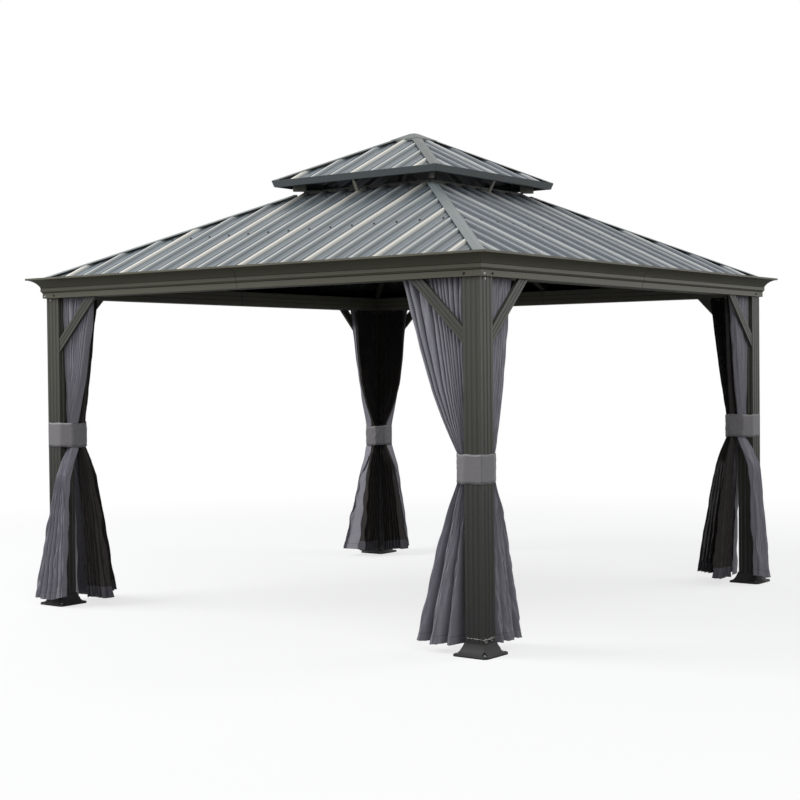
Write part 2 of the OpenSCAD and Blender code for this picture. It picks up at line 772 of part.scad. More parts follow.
// Rounded ring of points inside a box [x0, x1, y0, y1] at height z
function leaf_ring(b, z) = [for (i = [0:leaf_points - 1])
    let (t = 360 * i / leaf_points, c = cos(t), s = sin(t))
    [(b[0] + b[1]) / 2 + (b[1] - b[0]) / 2 * sign(c) * pow(abs(c), 0.6),
     (b[2] + b[3]) / 2 + (b[3] - b[2]) / 2 * sign(s) * pow(abs(s), 0.6), z]];

module leaf(tie, edges) {
    rings = [for (z = leaf_levels(tie)) leaf_ring(leaf_box(z, tie, edges), z)];
    n = leaf_points;
    last = (len(rings) - 1) * n;
    sides = [for (level = [0:len(rings) - 2], i = [0:n - 1])
        let (a = level * n + i, b = level * n + (i + 1) % n) [a, a + n, b + n, b]];
    polyhedron(
        points = [for (ring = rings) each ring],
        faces = concat(sides, [[for (i = [0:n - 1]) i]], [[for (i = [n - 1:-1:0]) last + i]]));
}

module leaf_pair(k, edges, mirrored_edges) {
    at_post(k) {
        leaf(TIE_HEIGHTS[k], edges);
        mirror([1, -1, 0]) leaf(TIE_HEIGHTS[k], mirrored_edges);
    }
}

// Leaves of each corner, first the one that runs along +X in the corner frame
CURTAIN_EDGES = [[short_edges, long_edges], [short_edges, swung_short_edges],
                 [full_edges, full_edges], [swung_full_edges, short_edges]];
NET_EDGES = [net_edges, net_slim_edges, net_full_edges, net_slim_edges];

module curtain(k) { color(cloth_grey) leaf_pair(k, CURTAIN_EDGES[k][0], CURTAIN_EDGES[k][1]); }

module net(k) { color(net_black) leaf_pair(k, NET_EDGES[k], NET_EDGES[k]); }

// Band round a post and its gathered leaves
function turn_right(d) = [d.y, -d.x] / norm(d);
function grown_corner(p, q, r, t) =
    let (m = turn_right(q - p), n = turn_right(r - q)) q + t * (m + n) / (1 + m * n);
function grown(points, t) = let (n = len(points))
    [for (i = [0:n - 1]) grown_corner(points[(i + n - 1) % n], points[i], points[(i + 1) % n], t)];

band_shoulder = 18;
band_side = 29;

module tie_back(k) {
    face = post_w / 2 + seat;
    far = net_tie_reach + leaf_gap;
    half_path = [[-face, -face], [leaf_face, -face], [tie_reach + leaf_gap, -band_shoulder],
                 [far, leaf_face], [far, leaf_face + band_side]];
    path = concat(half_path, [for (i = [len(half_path) - 1:-1:1]) [half_path[i].y, half_path[i].x]]);
    color(cloth_grey) at_post(k) translate([0, 0, TIE_HEIGHTS[k] - tie_h / 2]) linear_extrude(tie_h)
        difference() {
            polygon(grown(path, tie_t));
            polygon(path);
        }
}

for (k = [0:3]) {
    post(k);
    foot(k);
    corner_cover(k);
    braces(k);
    curtain(k);
    net(k);
    tie_back(k);
    beam(k);
    lower_roof(k);
    upper_roof(k);
}
lower_hip_caps();
hip_rafters();
side_rafters();
purlins();
vent_ring();
vent_struts();
upper_eave_trim();
upper_rafters();
upper_hip_caps();
top_cap();
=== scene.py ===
"""Looks of a square metal gazebo: its coats, gathered cloth, fixings, light and camera.

Every length is in metres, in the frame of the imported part: +Z up, the front faces -Y.
"""

import logging
import math
from dataclasses import dataclass, field
from enum import Enum
from typing import Iterable, Sequence

import bpy
import numpy as np
from mathutils import Matrix, Vector


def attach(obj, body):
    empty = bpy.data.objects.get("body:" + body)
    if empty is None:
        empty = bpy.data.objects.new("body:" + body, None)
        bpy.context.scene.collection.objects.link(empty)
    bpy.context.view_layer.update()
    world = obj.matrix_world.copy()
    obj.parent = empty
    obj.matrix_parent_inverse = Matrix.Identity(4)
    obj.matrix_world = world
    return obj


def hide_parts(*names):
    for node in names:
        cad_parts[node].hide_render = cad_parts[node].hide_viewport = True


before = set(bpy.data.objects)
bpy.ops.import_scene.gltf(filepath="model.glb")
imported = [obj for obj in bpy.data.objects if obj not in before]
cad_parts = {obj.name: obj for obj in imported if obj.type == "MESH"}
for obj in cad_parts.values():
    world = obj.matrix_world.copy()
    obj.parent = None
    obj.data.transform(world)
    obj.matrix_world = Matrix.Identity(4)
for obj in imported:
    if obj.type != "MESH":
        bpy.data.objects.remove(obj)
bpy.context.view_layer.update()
LOG = logging.getLogger("gazebo")
ROOT = "root"

Colour = tuple[float, float, float, float]
Point = tuple[float, float, float]
Places = tuple[list[Point], list[Point]]
Tree = bpy.types.NodeTree
Socket = bpy.types.NodeSocket
Sockets = bpy.types.bpy_prop_collection
CORNERS = ("front_right", "back_right", "back_left", "front_left")


class Slot(Enum):
    """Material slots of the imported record."""

    FRAME = "frame_paint"
    ROOF = "roof_sheet"
    CURTAIN = "curtain_cloth"
    NET = "netting"
    FIXINGS = "fixings"


class Across(Enum):
    """The axis that a roof sheet's ribs are counted along."""

    X = "X"
    Y = "Y"
    NONE = "none"


class Rail(Enum):
    """The two tracks under each beam."""

    CURTAIN = "curtain"
    NET = "net"


@dataclass(frozen=True)
class Sizes:
    """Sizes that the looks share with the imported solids."""

    fascia: float = 1.746
    post_mid: float = 1.671
    post_half: float = 0.057
    beam_z: float = 2.008
    lower_slope: float = math.tan(math.radians(25.5))
    upper_slope: float = math.tan(math.radians(26.0))
    sheet_eave: float = 1.772
    sheet_eave_z: float = 2.10941
    rib_pitch: float = 0.17
    rib_base: float = 0.064
    rib_top: float = 0.020
    rib_h: float = 0.015
    sheet_t: float = 0.0012
    upper_half: float = 0.684
    upper_pan_eave_z: float = 2.77187
    hem_z: float = 0.035
    tie_h: float = 0.160
    tie_z: tuple[float, float, float, float] = (0.99, 1.105, 0.98, 1.115)
    shoulder_share: float = 0.35
    knee_share: float = 0.2
    curtain_reach: tuple[tuple[tuple[float, float], ...], ...] = (
        ((0.287, 0.203), (0.474, 0.300)), ((0.287, 0.203), (0.287, 0.203)),
        ((0.300, 0.205), (0.300, 0.205)), ((0.341, 0.227), (0.287, 0.203)))
    net_reach: tuple[tuple[float, float], ...] = (
        (0.327, 0.252), (0.282, 0.192), (0.327, 0.297), (0.282, 0.192))

    def pan_z(self, c: float) -> float:
        """Height of the lower pans at plan distance c from the middle."""
        return self.sheet_eave_z + (self.sheet_eave - c) * self.lower_slope + self.sheet_t

    def upper_pan_z(self, c: float) -> float:
        """Height of the upper pans at plan distance c from the middle."""
        return self.upper_pan_eave_z + (self.upper_half - c) * self.upper_slope + self.sheet_t


SIZES = Sizes()


def srgb(r: int, g: int, b: int) -> Colour:
    """Turn a display colour into the linear colour that shaders use.

    Args:
        r: Red, 0 to 255.
        g: Green, 0 to 255.
        b: Blue, 0 to 255.

    Returns:
        The linear colour with full alpha.
    """
    def line(v: float) -> float:
        """Linear value of one channel."""
        return v / 12.92 if v <= 0.04045 else ((v + 0.055) / 1.055) ** 2.4
    return (line(r / 255), line(g / 255), line(b / 255), 1.0)


def corner_matrix(k: int) -> Matrix:
    """Frame at a post's middle, with +X and +Y inwards along its two beams.

    Args:
        k: Corner number, counted as in CORNERS.

    Returns:
        The matrix from the corner's frame to the part's frame.
    """
    turn = Matrix.Rotation(math.radians(90 * k), 4, "Z")
    place = Matrix.Translation((SIZES.post_mid, -SIZES.post_mid, 0))
    return turn @ place @ Matrix.Rotation(math.radians(90), 4, "Z")


def side_matrix(k: int) -> Matrix:
    """Turn from the front side to side k."""
    return Matrix.Rotation(math.radians(90 * k), 4, "Z")


def moved(matrix: Matrix, points: np.ndarray) -> np.ndarray:
    """Points moved by a matrix.

    Args:
        matrix: A 4 by 4 matrix.
        points: Rows of x, y, z.

    Returns:
        The moved rows.
    """
    m = np.array(matrix)
    return points @ m[:3, :3].T + m[:3, 3]


def mesh_piece(name: str, points: np.ndarray, faces: Sequence[Sequence[int]],
               uvs: np.ndarray | None = None, smooth: bool = True) -> bpy.types.Object:
    """Make a mesh object at the origin.

    Args:
        name: The piece's name.
        points: Rows of x, y, z.
        faces: Vertex numbers of each face.
        uvs: One u, v row for each vertex, if it has them.
        smooth: Whether its faces are shaded smooth.

    Returns:
        The linked object.
    """
    mesh = bpy.data.meshes.new(name)
    mesh.from_pydata([tuple(p) for p in points], [], [tuple(f) for f in faces])
    if uvs is not None:
        layer = mesh.uv_layers.new(name="UVMap")
        corner = np.empty(len(mesh.loops), dtype=np.int32)
        mesh.loops.foreach_get("vertex_index", corner)
        layer.data.foreach_set("uv", uvs[corner].astype(np.float32).ravel())
    mesh.polygons.foreach_set("use_smooth", [smooth] * len(mesh.polygons))
    mesh.update()
    piece = bpy.data.objects.new(name, mesh)
    bpy.context.scene.collection.objects.link(piece)
    return piece


def grid_faces(columns: int, rows: int, closed: bool = False) -> list[tuple[int, int, int, int]]:
    """Quads of a grid whose vertices run along each row.

    Args:
        columns: Vertices in a row.
        rows: Number of rows.
        closed: Whether the last column joins the first.

    Returns:
        The quads.
    """
    last = columns if closed else columns - 1
    return [(r * columns + c, r * columns + (c + 1) % columns,
             (r + 1) * columns + (c + 1) % columns, (r + 1) * columns + c)
            for r in range(rows - 1) for c in range(last)]


def tube(path: np.ndarray, radius: float, sides: int = 8) -> tuple[np.ndarray, list[tuple[int, ...]]]:
    """Round tube along a path, with capped ends.

    Args:
        path: Rows of x, y, z along the middle.
        radius: Radius of the tube.
        sides: Vertices round it.

    Returns:
        Its points and faces.
    """
    ahead = np.gradient(path, axis=0)
    ahead /= np.linalg.norm(ahead, axis=1)[:, None]
    side = np.cross(ahead[0], (0.0, 0.0, 1.0) if abs(ahead[0][2]) < 0.9 else (1.0, 0.0, 0.0))
    rings = []
    for point, way in zip(path, ahead):
        side = side - way * (side @ way)
        side /= np.linalg.norm(side)
        over = np.cross(way, side)
        turn = np.linspace(0, 2 * math.pi, sides, endpoint=False)[:, None]
        rings.append(point + radius * (np.cos(turn) * side + np.sin(turn) * over))
    faces: list[tuple[int, ...]] = list(grid_faces(sides, len(path), closed=True))
    faces.append(tuple(range(sides - 1, -1, -1)))
    faces.append(tuple((len(path) - 1) * sides + i for i in range(sides)))
    return np.concatenate(rings), faces


class NodeTools:
    """Small helpers to lay out nodes, and the shader groups that materials share."""

    @staticmethod
    def feed(tree: Tree, value: object, socket: Socket) -> None:
        """Link a socket to an input, or set the input to a plain value.

        Args:
            tree: The tree of the input's node.
            value: A socket or a plain value.
            socket: The input.
        """
        if isinstance(value, Socket):
            tree.links.new(value, socket)
        else:
            socket.default_value = value

    @classmethod
    def add(cls, tree: Tree, kind: str, label: str = "", **values: object) -> bpy.types.Node:
        """Add a node and set its properties and inputs.

        Args:
            tree: The tree that gets the node.
            kind: Node class name.
            label: Its label.
            values: Properties, or inputs by socket name with _ for spaces.

        Returns:
            The node.
        """
        node = tree.nodes.new(kind)
        node.label = label
        for key, value in values.items():
            if hasattr(node, key):
                setattr(node, key, value)
            else:
                cls.feed(tree, value, node.inputs[key.replace("_", " ")])
        return node

    @classmethod
    def maths(cls, tree: Tree, operation: str, *operands: object, clamp: bool = False) -> Socket:
        """Add a math node.

        Args:
            tree: The tree that gets the node.
            operation: Its operation.
            operands: Sockets or numbers, as many as it takes.
            clamp: Whether the result is kept between 0 and 1.

        Returns:
            Its output socket.
        """
        node = tree.nodes.new("ShaderNodeMath")
        node.operation, node.use_clamp = operation, clamp
        for value, socket in zip(operands, node.inputs):
            cls.feed(tree, value, socket)
        return node.outputs[0]

    @classmethod
    def blend(cls, tree: Tree, share: object, a: object, b: object) -> Socket:
        """Mix two colours.

        Args:
            tree: The tree that gets the node.
            share: Socket or number, 0 for a and 1 for b.
            a: A colour or a colour socket.
            b: A colour or a colour socket.

        Returns:
            The mixed colour's socket.
        """
        node = tree.nodes.new("ShaderNodeMix")
        node.data_type = "RGBA"
        for value, index in ((share, 0), (a, 6), (b, 7)):
            cls.feed(tree, value, node.inputs[index])
        return node.outputs[2]

    @classmethod
    def split(cls, tree: Tree, vector: Socket) -> Sockets:
        """Outputs X, Y and Z of a vector."""
        return cls.add(tree, "ShaderNodeSeparateXYZ", Vector=vector).outputs

    @staticmethod
    def new_group(name: str, inputs: dict[str, float], outputs: Sequence[str],
                  vector: bool = True) -> tuple[Tree, Sockets, Sockets]:
        """Start a shader group with named sockets.

        Args:
            name: The group's name.
            inputs: Default of each number input.
            outputs: Names of its number outputs.
            vector: Whether it also takes a Vector.

        Returns:
            The tree, what comes in and what goes out.
        """
        tree = bpy.data.node_groups.new(name, "ShaderNodeTree")
        face = tree.interface
        if vector:
            face.new_socket("Vector", in_out="INPUT", socket_type="NodeSocketVector")
        for key, value in inputs.items():
            face.new_socket(key, in_out="INPUT", socket_type="NodeSocketFloat").default_value = value
        for key in outputs:
            face.new_socket(key, in_out="OUTPUT", socket_type="NodeSocketFloat")
        return tree, tree.nodes.new("NodeGroupInput").outputs, tree.nodes.new("NodeGroupOutput").inputs

    @classmethod
    def close(cls, tree: Tree, outs: Sockets, **sockets: Socket) -> Tree:
        """Link what a group puts out.

        Args:
            tree: The group's tree.
            outs: Its outputs.
            sockets: The socket for each output.

        Returns:
            The tree.
        """
        for key, socket in sockets.items():
            cls.feed(tree, socket, outs[key])
        return tree

    @classmethod
    def grain(cls) -> Tree:
        """Fine grain of a baked coat over slow patches of tone.

        Returns:
            A group with the outputs Patch, Speck and Height.
        """
        if "Coat grain" in bpy.data.node_groups:
            return bpy.data.node_groups["Coat grain"]
        tree, ins, outs = cls.new_group("Coat grain", {"Grain scale": 700.0, "Patch scale": 2.2},
                                        ("Patch", "Speck", "Height"))
        fine = cls.add(tree, "ShaderNodeTexNoise", "grain", Detail=2.0, Roughness=0.6,
                       Vector=ins["Vector"], Scale=ins["Grain scale"]).outputs["Fac"]
        slow = cls.add(tree, "ShaderNodeTexNoise", "patches", Detail=4.0, Roughness=0.55,
                       Vector=ins["Vector"], Scale=ins["Patch scale"]).outputs["Fac"]
        return cls.close(tree, outs, Patch=slow, Speck=fine, Height=fine)

    @classmethod
    def dust(cls) -> Tree:
        """Dust that lies on faces that look up, broken by noise.

        Returns:
            A group with the output Mask.
        """
        if "Settled dust" in bpy.data.node_groups:
            return bpy.data.node_groups["Settled dust"]
        tree, ins, outs = cls.new_group("Settled dust", {"Amount": 0.2, "Scale": 9.0}, ("Mask",))
        noise = cls.add(tree, "ShaderNodeTexNoise", "dust", Detail=5.0, Roughness=0.65,
                        Vector=ins["Vector"], Scale=ins["Scale"])
        facing = cls.split(tree, tree.nodes.new("ShaderNodeNewGeometry").outputs["Normal"])
        up = cls.maths(tree, "MULTIPLY", facing["Z"], noise.outputs["Fac"])
        return cls.close(tree, outs, Mask=cls.maths(tree, "MULTIPLY", up, ins["Amount"], clamp=True))

    @classmethod
    def weave(cls) -> Tree:
        """Crossing threads of a plain weave, in a sheet's flat metres.

        Returns:
            A group with the outputs Thread, Height and Slub.
        """
        if "Plain weave" in bpy.data.node_groups:
            return bpy.data.node_groups["Plain weave"]
        tree, ins, outs = cls.new_group("Plain weave", {"Threads": 900.0, "Slub scale": 60.0},
                                        ("Thread", "Height", "Slub"))
        flat = cls.split(tree, ins["Vector"])
        waves = []
        for axis in ("X", "Y"):
            turn = cls.maths(tree, "MULTIPLY", flat[axis], ins["Threads"])
            waves.append(cls.maths(tree, "SINE", cls.maths(tree, "MULTIPLY", turn, math.pi)))
        thread = cls.maths(tree, "MULTIPLY_ADD", cls.maths(tree, "MULTIPLY", *waves), 0.5, 0.5)
        slub = cls.add(tree, "ShaderNodeTexNoise", "slubs", Detail=3.0, Roughness=0.6,
                       Vector=ins["Vector"], Scale=ins["Slub scale"])
        return cls.close(tree, outs, Thread=thread, Height=thread, Slub=slub.outputs["Fac"])

    @classmethod
    def ribs(cls) -> Tree:
        """Masks for the painted highlights, painted crease shade and painted reflection on the pans, for ribs
        counted along an axis, with every third one where a sheet laps the next.

        Returns:
            A group with the outputs Crown, Lap, Crease and Pan.
        """
        if "Sheet ribs" in bpy.data.node_groups:
            return bpy.data.node_groups["Sheet ribs"]
        tree, ins, outs = cls.new_group("Sheet ribs", {"Along": 0.0, "Pitch": 0.17, "Base": 0.064},
                                        ("Crown", "Lap", "Crease", "Pan"), vector=False)
        place = cls.maths(tree, "DIVIDE", ins["Along"], ins["Pitch"])
        count = cls.maths(tree, "ROUND", place)
        third = cls.maths(tree, "COMPARE", cls.maths(tree, "FLOORED_MODULO", count, 3.0), 0.0, 0.1)
        off = cls.maths(tree, "ABSOLUTE", cls.maths(tree, "SUBTRACT", place, count))
        away = cls.maths(tree, "MULTIPLY", cls.maths(tree, "MULTIPLY", off, ins["Pitch"]), 2.0)
        reach = cls.maths(tree, "DIVIDE", away, ins["Base"])
        crown = cls.maths(tree, "SUBTRACT", 1.0, reach, clamp=True)
        return cls.close(tree, outs, Crown=crown, Lap=cls.maths(tree, "MULTIPLY", third, crown),
                         Crease=cls.maths(tree, "COMPARE", off, 0.385, 0.035),
                         Pan=cls.maths(tree, "GREATER_THAN", off, 0.42))

    @classmethod
    def place_group(cls, tree: Tree, group: Tree, **values: object) -> Sockets:
        """Put a shared group into a material and return its outputs."""
        return cls.add(tree, "ShaderNodeGroup", node_tree=group, **values).outputs


@dataclass(frozen=True)
class Finish:
    """A surface finish; the kinds below lay out its nodes."""

    name: str
    colour: Colour
    roughness: float

    def start(self) -> tuple[bpy.types.Material, Tree, bpy.types.Node]:
        """Make the material with its plain values.

        Returns:
            The material, its tree and its shader.
        """
        material = bpy.data.materials.new(self.name)
        material.use_nodes = True
        tree = material.node_tree
        shader = tree.nodes["Principled BSDF"]
        shader.inputs["Base Color"].default_value = self.colour
        shader.inputs["Roughness"].default_value = self.roughness
        material.diffuse_color = self.colour
        return material, tree, shader

    @staticmethod
    def bump(tree: Tree, shader: bpy.types.Node, height: Socket,
             distance: float, strength: float, edge: float = 0.0) -> None:
        """Feed a height, and softened edges, to the shader's normal.

        Args:
            tree: The material's tree.
            shader: Its shader.
            height: The height's socket.
            distance: Depth of the relief.
            strength: Share of it that shows.
            edge: Radius of the softened edges, or 0 for none.
        """
        node = NodeTools.add(tree, "ShaderNodeBump", "relief", Strength=strength, Distance=distance)
        tree.links.new(height, node.inputs["Height"])
        if edge:
            soft = NodeTools.add(tree, "ShaderNodeBevel", "soft edges", samples=4, Radius=edge)
            tree.links.new(soft.outputs["Normal"], node.inputs["Normal"])
        tree.links.new(node.outputs["Normal"], shader.inputs["Normal"])

    def cloud(self, tree: Tree, shader: bpy.types.Node, mask: Socket, spread: float) -> None:
        """Spread the roughness about its plain value.

        Args:
            tree: The material's tree.
            shader: Its shader.
            mask: Socket from 0, smoothest, to 1.
            spread: Difference between the two.
        """
        rough = NodeTools.maths(tree, "MULTIPLY_ADD", mask, spread, self.roughness - spread / 2)
        tree.links.new(rough, shader.inputs["Roughness"])


@dataclass(frozen=True)
class PowderCoat(Finish):
    """Baked powder coat with a fine grain, slow patches, a little dust, dark seam lines, painted shade lines
    along the cornice, painted shade in channels and corners, and painted shade towards the bottom where a low
    colour is given.
    """

    pale: Colour = (0.1, 0.1, 0.09, 1.0)
    dust_colour: Colour = srgb(120, 118, 108)
    dust_amount: float = 0.25
    # Colour of painted shade towards the bottom, and the height where it has faded out.
    low: Colour | None = None
    low_z: float = 1.5
    # Heights and width of painted shade lines along the cornice.
    joints: tuple[float, ...] = ()
    joint: float = 0.0022
    seam: float = 0.0
    line: Colour = srgb(24, 24, 22)
    line_share: float = 0.75
    # Reach and colour of the painted shade in flutes, channels and corners.
    groove: float = 0.02
    groove_colour: Colour = srgb(16, 16, 15)

    def build(self) -> bpy.types.Material:
        """Lay out the coat's nodes.

        Returns:
            Its material.
        """
        material, tree, shader = self.start()
        tools = NodeTools
        spot = tree.nodes.new("ShaderNodeTexCoord").outputs["Object"]
        grain = tools.place_group(tree, tools.grain(), Vector=spot, Grain_scale=650.0, Patch_scale=3.0)
        dust = tools.place_group(tree, tools.dust(), Vector=spot, Amount=self.dust_amount, Scale=14.0)
        tone = tools.blend(tree, grain["Patch"], self.colour, self.pale)
        tone = tools.blend(tree, dust["Mask"], tone, self.dust_colour)
        at = tools.split(tree, spot)
        # Painted shade: the coat darkens towards the bottom.
        if self.low is not None:
            share = tools.maths(tree, "DIVIDE", at["Z"], self.low_z, clamp=True)
            tone = tools.blend(tree, share, self.low, tone)
        # Painted shade: dark lines along the cornice at the bead's edges; the seam lines mark the dark seam
        # at the middle of each beam.
        lines = [(at["Z"], z, self.joint) for z in self.joints]
        if self.seam:
            lines += [(at[axis], 0.0, self.seam) for axis in ("X", "Y")]
        for line in lines:
            share = tools.maths(tree, "MULTIPLY", tools.maths(tree, "COMPARE", *line), self.line_share)
            tone = tools.blend(tree, share, tone, self.line)
        # Painted shade: ambient occlusion darkens the coat in flutes, channels and corners.
        grooves = tools.add(tree, "ShaderNodeAmbientOcclusion", "grooves", samples=4, only_local=True,
                            Distance=self.groove)
        share = tools.maths(tree, "POWER", grooves.outputs["AO"], 1.6)
        dim = tools.blend(tree, 0.6, tone, self.groove_colour)
        tree.links.new(tools.blend(tree, share, dim, tone), shader.inputs["Base Color"])
        self.cloud(tree, shader, grain["Speck"], 0.16)
        self.bump(tree, shader, grain["Height"], 0.0004, 0.25, edge=0.0016)
        return material


@dataclass(frozen=True)
class SheetCoat(Finish):
    """Satin coat of the roof sheets, with painted highlights on the ribs, a painted sky reflection on the
    pans, painted shade at the creases and under the vent, and painted shade on faces that look down.
    """

    pale: Colour = (0.3, 0.33, 0.36, 1.0)
    # Painted highlights on the rib crowns and laps, a painted sky reflection along the middle of the pans,
    # and painted shade at the creases.
    crown: Colour = (0.5, 0.53, 0.55, 1.0)
    lap: Colour = srgb(222, 218, 208)
    crease: Colour = srgb(44, 47, 50)
    pan: Colour = (0.3, 0.36, 0.42, 1.0)
    backing: Colour = srgb(40, 41, 42)
    shade: Colour = srgb(44, 50, 58)
    dust_colour: Colour = srgb(170, 170, 162)
    across: Across = Across.NONE
    shade_z: tuple[float, float] = (2.52, 2.69)
    lower_top: float = 2.71

    def build(self) -> bpy.types.Material:
        """Lay out the coat's nodes.

        Returns:
            Its material.
        """
        material, tree, shader = self.start()
        tools = NodeTools
        spot = tree.nodes.new("ShaderNodeTexCoord").outputs["Object"]
        grain = tools.place_group(tree, tools.grain(), Vector=spot, Grain_scale=420.0, Patch_scale=1.6)
        dust = tools.place_group(tree, tools.dust(), Vector=spot, Amount=0.18, Scale=6.0)
        tone = tools.blend(tree, grain["Patch"], self.colour, self.pale)
        if self.across is not Across.NONE:
            tone = self.ribbed(tree, tools.split(tree, spot), tone)
        tone = tools.blend(tree, dust["Mask"], tone, self.dust_colour)
        # Painted shade: faces that look down take the dark underside colour.
        facing = tools.split(tree, tree.nodes.new("ShaderNodeNewGeometry").outputs["Normal"])
        under = tools.maths(tree, "LESS_THAN", facing["Z"], 0.0)
        tree.links.new(tools.blend(tree, under, tone, self.backing), shader.inputs["Base Color"])
        self.cloud(tree, shader, grain["Patch"], 0.14)
        self.bump(tree, shader, grain["Height"], 0.0004, 0.12, edge=0.0015)
        return material

    def ribbed(self, tree: Tree, at: Sockets, tone: Socket) -> Socket:
        """Tone of the ribs, with painted highlights on the crowns and laps, a painted sky reflection on the
        pans, painted shade along the creases and painted shade under the vent.

        Args:
            tree: The material's tree.
            at: Outputs X, Y and Z of the place.
            tone: The plain tone.

        Returns:
            The ribbed tone.
        """
        tools = NodeTools
        ribs = tools.place_group(tree, tools.ribs(), Along=at[self.across.value], Pitch=SIZES.rib_pitch,
                                 Base=SIZES.rib_base)
        # Painted light: highlights on the rib crowns and, stronger, on every third rib where the sheets
        # overlap; a lighter blue strip along the middle of the pans as a painted sky reflection; a dark
        # crease beside it as painted shade.
        bright = tools.maths(tree, "POWER", ribs["Crown"], 1.5)
        for share, colour in ((tools.maths(tree, "MULTIPLY", bright, 1.15, clamp=True), self.crown),
                              (tools.maths(tree, "MULTIPLY", ribs["Lap"], 1.3, clamp=True), self.lap),
                              (ribs["Pan"], self.pan),
                              (tools.maths(tree, "MULTIPLY", ribs["Crease"], 0.8), self.crease)):
            tone = tools.blend(tree, share, tone, colour)
        low, high = self.shade_z
        head = tools.add(tree, "ShaderNodeMapRange", "shade at the vent", interpolation_type="SMOOTHSTEP",
                         Value=at["Z"], From_Min=low, From_Max=high, To_Min=0.0, To_Max=0.6)
        lower = tools.maths(tree, "LESS_THAN", at["Z"], self.lower_top)
        share = tools.maths(tree, "MULTIPLY", head.outputs["Result"], lower)
        return tools.blend(tree, share, tone, self.shade)


@dataclass(frozen=True)
class Cloth(Finish):
    """Woven polyester with slubs, soft crinkles, a faint sheen and stitched hems."""

    pale: Colour = (0.2, 0.2, 0.2, 1.0)
    hem: float = 0.045
    edge: float = 1.08
    stitch: float = 0.002
    thread: Colour = srgb(48, 47, 52)
    crinkle: float = 0.006

    def build(self) -> bpy.types.Material:
        """Lay out the cloth's nodes.

        Returns:
            Its material.
        """
        material, tree, shader = self.start()
        tools = NodeTools
        flat = tree.nodes.new("ShaderNodeTexCoord").outputs["UV"]
        weave = tools.place_group(tree, tools.weave(), Vector=flat, Threads=1100.0, Slub_scale=45.0)
        tone = tools.blend(tree, weave["Slub"], self.colour, self.pale)
        at = tools.split(tree, flat)
        low = tools.maths(tree, "COMPARE", at["Y"], self.hem, self.stitch)
        side = tools.maths(tree, "COMPARE", at["X"], self.edge, self.stitch)
        share = tools.maths(tree, "MULTIPLY", tools.maths(tree, "MAXIMUM", low, side), 0.4)
        tree.links.new(tools.blend(tree, share, tone, self.thread), shader.inputs["Base Color"])
        self.cloud(tree, shader, weave["Slub"], 0.1)
        for key, value in (("Sheen Weight", 0.35), ("Sheen Roughness", 0.35), ("Specular IOR Level", 0.5)):
            shader.inputs[key].default_value = value
        crinkles = tools.add(tree, "ShaderNodeTexNoise", "crinkles", Vector=flat, Scale=11.0, Detail=4.0,
                             Roughness=0.55, Distortion=1.4)
        height = tools.maths(tree, "MULTIPLY_ADD", weave["Height"], 0.06, crinkles.outputs["Fac"])
        self.bump(tree, shader, height, self.crinkle, 0.6)
        return material


@dataclass(frozen=True)
class Mesh(Finish):
    """Fine netting that shows a little of what is behind it, with an opaque woven band at the hem."""

    pale: Colour = srgb(76, 72, 70)
    band: Colour = srgb(96, 94, 100)
    hem: float = 0.075
    cover: float = 1.03

    def build(self) -> bpy.types.Material:
        """Lay out the netting's nodes.

        Returns:
            Its material.
        """
        material, tree, shader = self.start()
        tools = NodeTools
        flat = tree.nodes.new("ShaderNodeTexCoord").outputs["UV"]
        weave = tools.place_group(tree, tools.weave(), Vector=flat, Threads=620.0, Slub_scale=30.0)
        bands = tools.maths(tree, "LESS_THAN", tools.split(tree, flat)["Y"], self.hem)
        net = tools.blend(tree, weave["Slub"], self.colour, self.pale)
        tree.links.new(tools.blend(tree, bands, net, self.band), shader.inputs["Base Color"])
        threads = tools.maths(tree, "MULTIPLY_ADD", weave["Thread"], 0.4, self.cover - 0.2)
        tree.links.new(tools.maths(tree, "MAXIMUM", bands, threads, clamp=True), shader.inputs["Alpha"])
        shader.inputs["Specular IOR Level"].default_value = 0.2
        self.bump(tree, shader, weave["Height"], 0.0004, 0.3)
        return material


@dataclass(frozen=True)
class PlatedSteel(Finish):
    """Plated or painted steel with cloudy roughness."""

    pale: Colour = srgb(208, 206, 200)
    metal: float = 0.85

    def build(self) -> bpy.types.Material:
        """Lay out the plating's nodes.

        Returns:
            Its material.
        """
        material, tree, shader = self.start()
        tools = NodeTools
        shader.inputs["Metallic"].default_value = self.metal
        spot = tree.nodes.new("ShaderNodeTexCoord").outputs["Object"]
        grain = tools.place_group(tree, tools.grain(), Vector=spot, Grain_scale=900.0, Patch_scale=60.0)
        tone = tools.blend(tree, grain["Patch"], self.colour, self.pale)
        tree.links.new(tone, shader.inputs["Base Color"])
        self.cloud(tree, shader, grain["Speck"], 0.2)
        self.bump(tree, shader, grain["Height"], 0.0002, 0.15)
        return material


